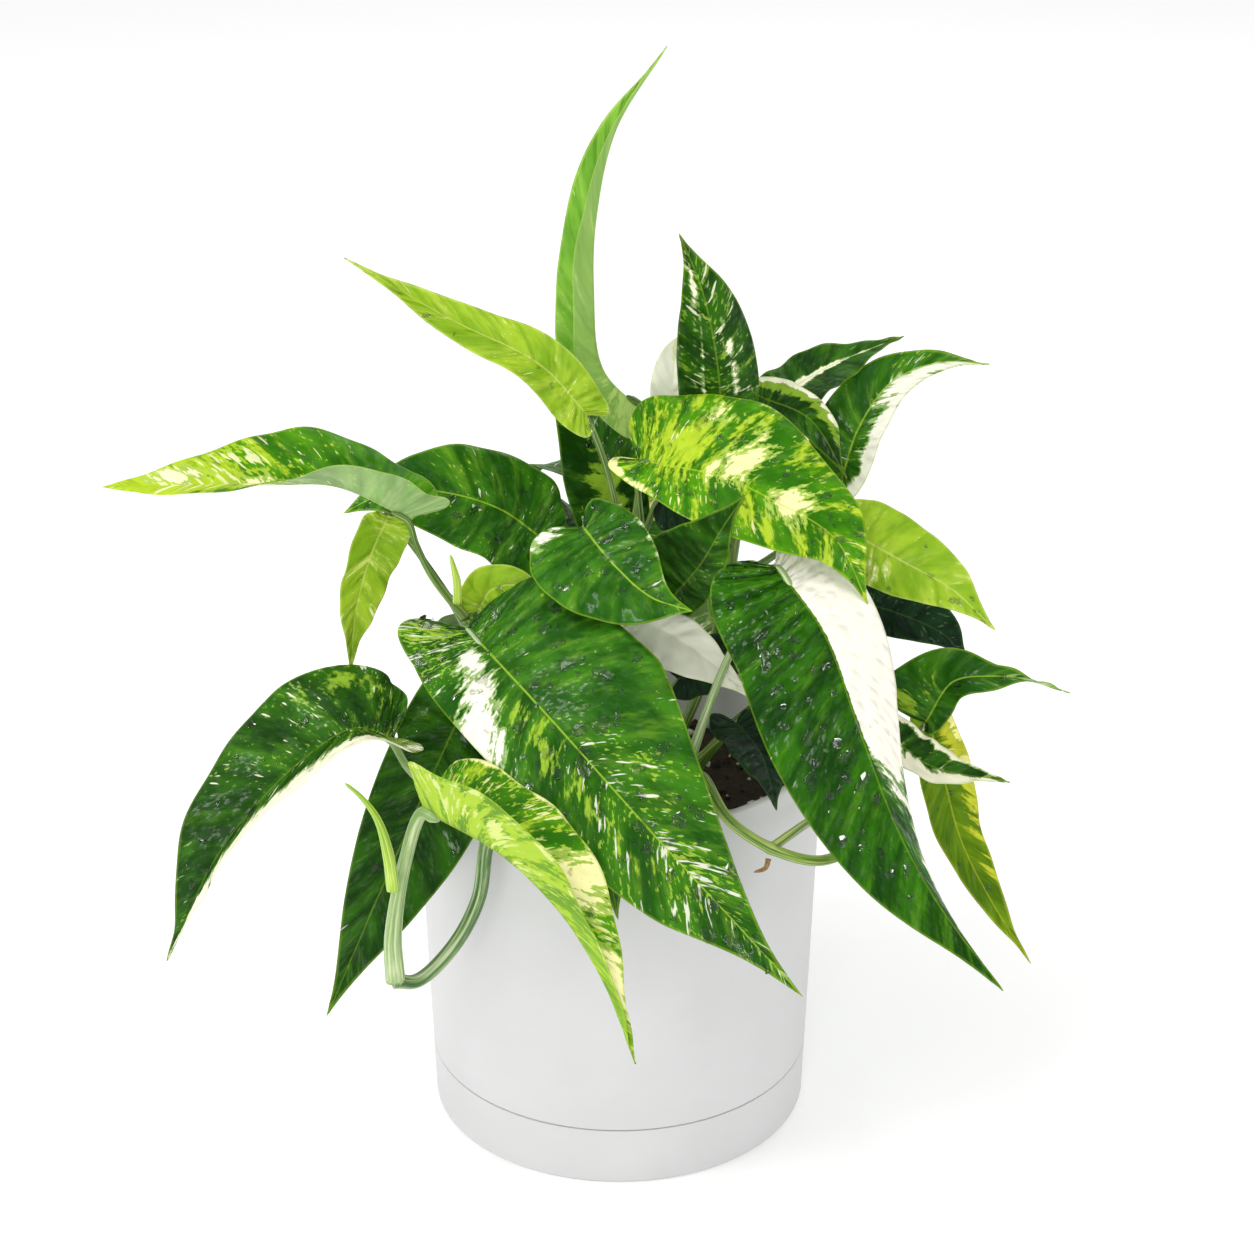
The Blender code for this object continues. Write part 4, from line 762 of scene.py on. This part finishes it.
def add_drops(name, surface, normal, spec, seed):
    """Low lens-shaped drops with uneven outlines, resting on the upper side of a blade."""
    draw = np.random.RandomState(1000 + seed)
    rows, columns = surface.shape[:2]
    vertices, faces, places = [], [], []
    for _ in range(spec["drops"]):
        row = draw.uniform(*spec.get("drop_span", (.06, .92))) * (rows - 1)
        column = draw.uniform(*spec.get("drop_across", (.05, .95))) * (columns - 1)
        size = DROP_LEAST + DROP_GROWTH * draw.uniform()**2.5 * spec.get("drop_size", 1)
        turn, stretch, notch, notch_turn = draw.uniform(size=4)
        row_index, column_index = int(row), int(column)
        centre = surface[row_index, column_index]
        centre = centre + (row - row_index) * (surface[row_index + 1, column_index] - centre)
        centre = centre + (column - column_index) * (surface[row_index, column_index + 1]
                                                     - surface[row_index, column_index])
        up = normal[row_index, column_index]
        if up[2] < STEEPEST or any(np.linalg.norm(centre - place) < size + other for place, other in places):
            continue
        places.append((centre, size * 1.25))
        side = unit(np.cross(up, (.3, 1, .2)))
        front = np.cross(up, side)
        start = len(vertices)
        rise = size * (.32 if size < DROP_SMALL else .18)
        for share, height in DROP_PROFILE:
            for step in range(DROP_SIDES):
                angle = 2 * np.pi * step / DROP_SIDES
                radius = size * share * (1 + .55 * stretch * np.cos(2 * (angle - np.pi * turn))
                                         + .30 * notch * np.cos(3 * (angle - 6 * notch_turn)))
                place = centre + radius * (side * np.cos(angle) + front * np.sin(angle))
                vertices.append(place + up * (height * rise - DROP_SINK))
        vertices.append(centre + up * (rise - DROP_SINK))
        faces.append(tuple(range(start, start + DROP_SIDES))[::-1])
        faces.extend(bands(start, len(DROP_PROFILE), DROP_SIDES))
        base = start + (len(DROP_PROFILE) - 1) * DROP_SIDES
        crown = len(vertices) - 1
        faces.extend((base + step, base + (step + 1) % DROP_SIDES, crown) for step in range(DROP_SIDES))
    add_piece("drops_" + name, vertices, faces, [WATER])


# ---- stems ---------------------------------------------------------------------------------------------
STEM_SIDES = 14
RING_SPACING = .12


def tube(points, radius_at):
    """Closed tube along a smooth curve: vertices, faces, and its centre line with a frame at each ring."""
    line, travelled, length = dense_curve(points)
    count = max(8, int(length / RING_SPACING) + 1)
    share = np.linspace(0, 1, count)
    centres = columns_at(line, travelled, share)
    tangents = unit(np.gradient(centres, axis=0))
    side = unit(np.cross(tangents[0], (0.0, 1.0, 0.2)))
    sides, vertices, frames = STEM_SIDES, [], []
    for at, centre, tangent in zip(share, centres, tangents):
        side = unit(side - tangent * side.dot(tangent))
        other = np.cross(tangent, side)
        frames.append((centre, side, other, at * length))
        for step in range(sides):
            angle = 2 * np.pi * step / sides
            radius = radius_at(at, at * length, length, angle)
            vertices.append(centre + radius * (side * np.cos(angle) + other * np.sin(angle)))
    faces = [tuple(range(sides))[::-1], *bands(0, count, sides)]
    faces.append(tuple(range((count - 1) * sides, count * sides)))
    return np.array(vertices), faces, frames


def stem_values(vertices, frames, seed):
    """For each vertex, its direction round the nearest centre line and how far along that line it is."""
    tree = KDTree(len(frames))
    for index, (centre, side, other, along) in enumerate(frames):
        tree.insert(centre, index)
    tree.balance()
    values = []
    for vertex in vertices:
        centre, side, other, along = frames[tree.find(vertex)[1]]
        offset = vertex - centre
        round_x, round_y = offset.dot(side), offset.dot(other)
        size = max(np.hypot(round_x, round_y), 1e-6)
        values.append((round_x / size, round_y / size, along + 31 * seed))
    return values


def vine_points(path):
    """A vine's points: it leaves the soil upright."""
    x, y = path[0]
    surface = soil_height(np.hypot(x, y) * CM) / CM
    return ((x, y, surface - .15), (x, y, surface + .5), *path[1:])


def stalk_radius(thick, thin):
    """Radius of a leaf stalk: a sheath at its foot, a channel along it, and a swollen joint at the blade."""
    def radius(share, along, length, angle):
        sheath = np.exp(-(along / (.38 * length))**2)
        joint = np.exp(-((length - along) / .5)**2)
        channel = 1 - (.22 * np.exp(-((angle - 1.6) / .5)**2)) * np.clip(sheath * 1.4, 0, 1)
        end = 1 - .65 * np.exp(-((length - along) / .16)**2)
        return (thin + (thick - thin) * sheath + .030 * joint) * channel * end
    return radius


def vine_radius(radius, nodes):
    """Radius of a vine: swollen and ringed where its leaves leave, slimmer towards its end."""
    def at(share, along, length, angle):
        swell = sum(np.exp(-((share - node) * length / .22)**2) for node in nodes)
        ring = sum(np.exp(-((share - node) * length / .07)**2) for node in nodes)
        ribbed = .03 * np.cos(5 * angle + share * 2)
        return radius * (1 - .08 * share + .14 * min(swell, 1) + .06 * min(ring, 1) + ribbed)
    return at


def nearest_share(points, place):
    line, travelled, _ = dense_curve(points)
    return travelled[np.argmin(np.linalg.norm(line - np.asarray(place), axis=1))]


def join_shapes(shapes):
    """One list of vertices and faces from several, kept as they are."""
    vertices, faces = [], []
    for more, sides in shapes:
        start = len(vertices)
        vertices.extend(more)
        faces.extend(tuple(index + start for index in face) for face in sides)
    return vertices, faces


def add_vine(name, spec, seed):
    points = vine_points(spec["path"])
    nodes = [nearest_share(points, spec["path"][stalk[0]]) for stalk in spec["stalks"].values()]
    vertices, faces, frames = tube(points, vine_radius(spec["radius"], nodes))
    shapes, indices = [(vertices, faces)], [0] * len(faces)
    for leaf, (foot, *waypoints) in spec["stalks"].items():
        blade = LEAVES[leaf]
        base, _, up, _, _ = rib_frame(blade["rib"], blade["face"], np.array((0, .06)))
        path = (spec["path"][foot], *waypoints, base[0] - up[0] * .16, base[1] - up[1] * .11)
        thick = STALK_WIDTHS.get(leaf, .17)
        vertices, faces, more = tube(path, stalk_radius(thick, thick * .66))
        shapes.append((vertices, faces))
        indices.extend([1 if leaf in PALE_STALKS else 0] * len(faces))
        frames = frames + more
    vertices, faces = join_shapes(shapes)
    skin = STEM_SKINS.get(name, STEM_SKINS["plain"])
    add_piece("stem_" + name, vertices, faces, [skin, STEM_SKINS["pale"]], replaces=name,
              indices=indices, attributes={"stem": stem_values(vertices, frames, seed)})


def add_sprouts():
    for seed, (name, spec) in enumerate(SPROUTS.items()):
        def radius(share, along, length, angle, radii=spec["radii"]):
            crease = 1 - .18 * np.exp(-((np.cos(angle - 1 - share * 2) - 1) / .05)**2)
            return spread(radii, share) * crease * (1 if share < 1 else .3)
        vertices, faces, frames = tube(spec["path"], radius)
        skin = ROOT if spec["look"] == "root_brown" else SPROUT
        add_piece("sprout_" + name, vertices, faces, [skin], replaces=name,
                  attributes={"stem": stem_values(vertices, frames, seed)})


# ---- pot, saucer and soil ------------------------------------------------------------------------------
POT_HEIGHT = 0.150
POT_TOP_RADIUS = 0.0750
POT_FOOT_RADIUS = 0.0703
POT_WALL = 0.0028
SEAM_HEIGHT = 0.023
SOIL_TOP = 0.120
SOIL_CROWN = 0.005
SOIL_DEPTH = 0.02
SOIL_RINGS, SOIL_STEPS = 46, 150
SOIL_WAVES = 18
CRUMBS = 620
ROUND_STEPS = 192


def pot_outside(z):
    return POT_FOOT_RADIUS + (POT_TOP_RADIUS - POT_FOOT_RADIUS) * z / POT_HEIGHT


def pot_inside(z):
    return pot_outside(z) - POT_WALL


def soil_height(radius):
    return SOIL_TOP + SOIL_CROWN * (1 - (radius / pot_inside(SOIL_TOP))**2)


def rounded(corner_radius, z, inward, turn_from, turn_to, steps=6):
    """Points of a rounded edge, as radius and height, round a centre."""
    angles = np.radians(np.linspace(turn_from, turn_to, steps))
    return [(corner_radius + inward * np.cos(a), z + inward * np.sin(a)) for a in angles]


def turned(name, profile, replaces):
    """A closed solid turned about Z from radius and height pairs that start and end on the axis."""
    vertices = [(0, 0, profile[0][1])]
    for radius, height in profile[1:-1]:
        for step in range(ROUND_STEPS):
            angle = 2 * np.pi * step / ROUND_STEPS
            vertices.append((radius * np.cos(angle), radius * np.sin(angle), height))
    vertices.append((0, 0, profile[-1][1]))
    last, rings = len(vertices) - 1, len(profile) - 2
    top = 1 + (rings - 1) * ROUND_STEPS
    faces = [(0, 1 + (step + 1) % ROUND_STEPS, 1 + step) for step in range(ROUND_STEPS)]
    faces.extend(bands(1, rings, ROUND_STEPS))
    faces.extend((top + step, top + (step + 1) % ROUND_STEPS, last) for step in range(ROUND_STEPS))
    piece = add_piece(name, np.array(vertices) / CM, faces, [PLASTIC], replaces=replaces)
    piece.data.set_sharp_from_angle(angle=np.radians(35))


def add_pot():
    edge, lip, seam = .0016, POT_WALL / 2, .0004
    top = POT_HEIGHT - lip
    turned("planter_shell", [
        (0, .0033), (pot_outside(0) - .0030, .0033),
        (pot_outside(SEAM_HEIGHT) - .0030, SEAM_HEIGHT + seam),
        *rounded(pot_outside(SEAM_HEIGHT) - seam, SEAM_HEIGHT + 2 * seam, seam, -90, 0, 4),
        (pot_outside(.06), .06), (pot_outside(.10), .10),
        *rounded(pot_outside(top) - lip, top, lip, 0, 180, 11),
        (pot_inside(.10), .10), (pot_inside(.03) - .0028, .03), (pot_inside(.0068) - .0028, .0068),
        (0, .0068)], "planter_pot")
    turned("saucer_shell", [
        (0, .0008), (pot_outside(0) - .006, .0008), (pot_outside(0) - .005, 0),
        *rounded(pot_outside(0) - edge, edge, edge, -90, 0),
        *rounded(pot_outside(SEAM_HEIGHT) - seam, SEAM_HEIGHT - seam, seam, 0, 90, 4),
        (pot_outside(SEAM_HEIGHT) - .0024, SEAM_HEIGHT), (pot_outside(.003) - .0024, .003), (0, .003)],
        "drip_saucer")


def add_soil():
    """A crowned bed with an uneven crumbly top, and loose crumbs and white grains on it."""
    draw = np.random.RandomState(5)
    rings, steps = SOIL_RINGS, SOIL_STEPS
    edge = pot_inside(SOIL_TOP) - .0003
    waves = [(draw.uniform(60, 420), draw.uniform(0, np.pi), draw.uniform(0, 6.3)) for _ in range(SOIL_WAVES)]

    def height(x, y):
        radius = np.hypot(x, y)
        rough = sum(np.sin(k * (x * np.cos(a) + y * np.sin(a)) + p) * 30 / k for k, a, p in waves)
        return soil_height(radius) + .0006 * rough * np.clip((edge - radius) / .004, 0, 1)

    vertices = [(0, 0, height(0, 0))]
    for ring in range(1, rings + 1):
        for step in range(steps):
            angle = 2 * np.pi * step / steps
            x, y = edge * ring / rings * np.cos(angle), edge * ring / rings * np.sin(angle)
            vertices.append((x, y, height(x, y)))
    faces = [(0, 1 + step, 1 + (step + 1) % steps) for step in range(steps)]
    for ring in range(rings - 1):
        for step in range(steps):
            after, low = (step + 1) % steps, 1 + ring * steps
            faces.append((low + step, low + steps + step, low + steps + after, low + after))
    outer = 1 + (rings - 1) * steps
    below = len(vertices)
    foot = SOIL_TOP - SOIL_DEPTH
    reach = pot_inside(foot) * .999
    turns = [2 * np.pi * step / steps for step in range(steps)]
    vertices.extend((reach * np.cos(turn), reach * np.sin(turn), foot) for turn in turns)
    faces.extend((outer + step, below + step, below + (step + 1) % steps, outer + (step + 1) % steps)
                 for step in range(steps))
    faces.append(tuple(range(below, below + steps))[::-1])
    indices = [0] * len(faces)
    for crumb in range(CRUMBS):
        radius, angle = edge * .97 * draw.uniform()**.5, draw.uniform(0, 2 * np.pi)
        x, y = radius * np.cos(angle), radius * np.sin(angle)
        size = .0007 + .0021 * draw.uniform()**3
        lump = bmesh.new()
        bmesh.ops.create_icosphere(lump, subdivisions=1, radius=1)
        start = len(vertices)
        stretch = draw.uniform(.6, 1.2, 3)
        for vertex in lump.verts:
            place = np.array(vertex.co) * stretch * size * draw.uniform(.8, 1.2)
            vertices.append((x + place[0], y + place[1], height(x, y) + place[2] + size * .3))
        faces.extend(tuple(start + vertex.index for vertex in face.verts) for face in lump.faces)
        indices.extend([1 if crumb % 6 == 0 else 0] * len(lump.faces))
        lump.free()
    add_piece("soil_bed", np.array(vertices) / CM, faces, [soil_material(), perlite_material()],
              replaces="potting_soil", indices=indices)


# ---- stage ---------------------------------------------------------------------------------------------
# Lights: place, height of the point that each aims at, size and power.
LIGHTS = {
    "key": ((-.8, -.6, 1.7), .2, .8, 11),
    "fill": ((-.2, -1.9, .8), .2, .7, 8),
    "left": ((-1.7, -.7, .6), .15, .8, 9),
    "right": ((1.7, -.7, .6), .15, .8, 5),
    "back": ((.4, 1.2, 1.4), .25, 1.0, 5),
}
FLOOR_REACH = 9
FLOOR_GLOW = .16
ROOM_LIGHT = .75
CAMERA_PLACE = (.003, -.984, .640)
CAMERA_TILT = 65.5
CAMERA_LENS = 86.1
SENSOR_WIDTH = 36


def add_light(name, place, aim_height, size, power):
    lamp = bpy.data.lights.new(name, "AREA")
    lamp.shape = "DISK"
    lamp.size = size
    lamp.energy = power
    item = bpy.data.objects.new(name, lamp)
    item.location = place
    direction = Vector((0, 0, aim_height)) - Vector(place)
    item.rotation_euler = direction.to_track_quat("-Z", "Y").to_euler()
    bpy.context.scene.collection.objects.link(item)


def add_stage():
    scene = bpy.context.scene
    scene.view_settings.view_transform = "Standard"
    mesh = bpy.data.meshes.new("floor")
    far = FLOOR_REACH
    mesh.from_pydata([(-far, -far, 0), (far, -far, 0), (far, far, 0), (-far, far, 0)], [], [(0, 1, 2, 3)])
    shade = Shade("floor_paint")
    mesh.materials.append(shade.surface(Base_Color=(.9, .9, .9, 1), Roughness=.9, Specular_IOR_Level=.1,
                                        Emission_Color=(1, 1, 1, 1), Emission_Strength=FLOOR_GLOW))
    floor = bpy.data.objects.new("floor", mesh)
    scene.collection.objects.link(floor)
    world = bpy.data.worlds.new("studio")
    world.use_nodes = True
    background = world.node_tree.nodes["Background"]
    background.inputs["Color"].default_value = (1, 1, 1, 1)
    background.inputs["Strength"].default_value = ROOM_LIGHT
    scene.world = world
    for name, settings in LIGHTS.items():
        add_light(name, *settings)


def add_camera():
    data = bpy.data.cameras.new("camera")
    data.lens = CAMERA_LENS
    data.sensor_width = SENSOR_WIDTH
    camera = bpy.data.objects.new("camera", data)
    camera.location = CAMERA_PLACE
    camera.rotation_euler = (np.radians(CAMERA_TILT), 0, 0)
    bpy.context.scene.collection.objects.link(camera)
    bpy.context.scene.camera = camera


# ---- build ---------------------------------------------------------------------------------------------
LEAF_SKINS = {kind: [leaf_material(kind, style), underside_material(kind, style)]
              for kind, style in STYLES.items()}
STEM_SKINS = {
    "pale": stem_material("stem_skin_pale", (112, 146, 76), (156, 180, 120), (206, 214, 172)),
    "plain": stem_material("stem_skin", (44, 78, 24), (96, 132, 46), (158, 178, 96)),
    "vine_front_left": stem_material("stem_skin_striped", (40, 84, 26), (100, 136, 66), (186, 200, 156)),
    "vine_front_right": stem_material("stem_skin_yellowish", (62, 104, 28), (118, 152, 48), (186, 196, 112)),
}
PALE_STALKS = ("front_folded", "left_low", "right_large")
STALK_WIDTHS = {"front_folded": .34, "left_low": .2, "front_large": .2, "right_large": .2}
SPROUT = stem_material("sprout_skin", (120, 162, 36), (160, 196, 56), (206, 220, 110))
ROOT = root_material()
PLASTIC = plastic_material()
WATER = water_material()

add_camera()
add_stage()
add_pot()
add_soil()
for number, (leaf, blade_spec) in enumerate(LEAVES.items()):
    add_leaf(leaf, blade_spec, number)
for number, (vine, vine_spec) in enumerate(VINES.items()):
    add_vine(vine, vine_spec, number)
add_sprouts()
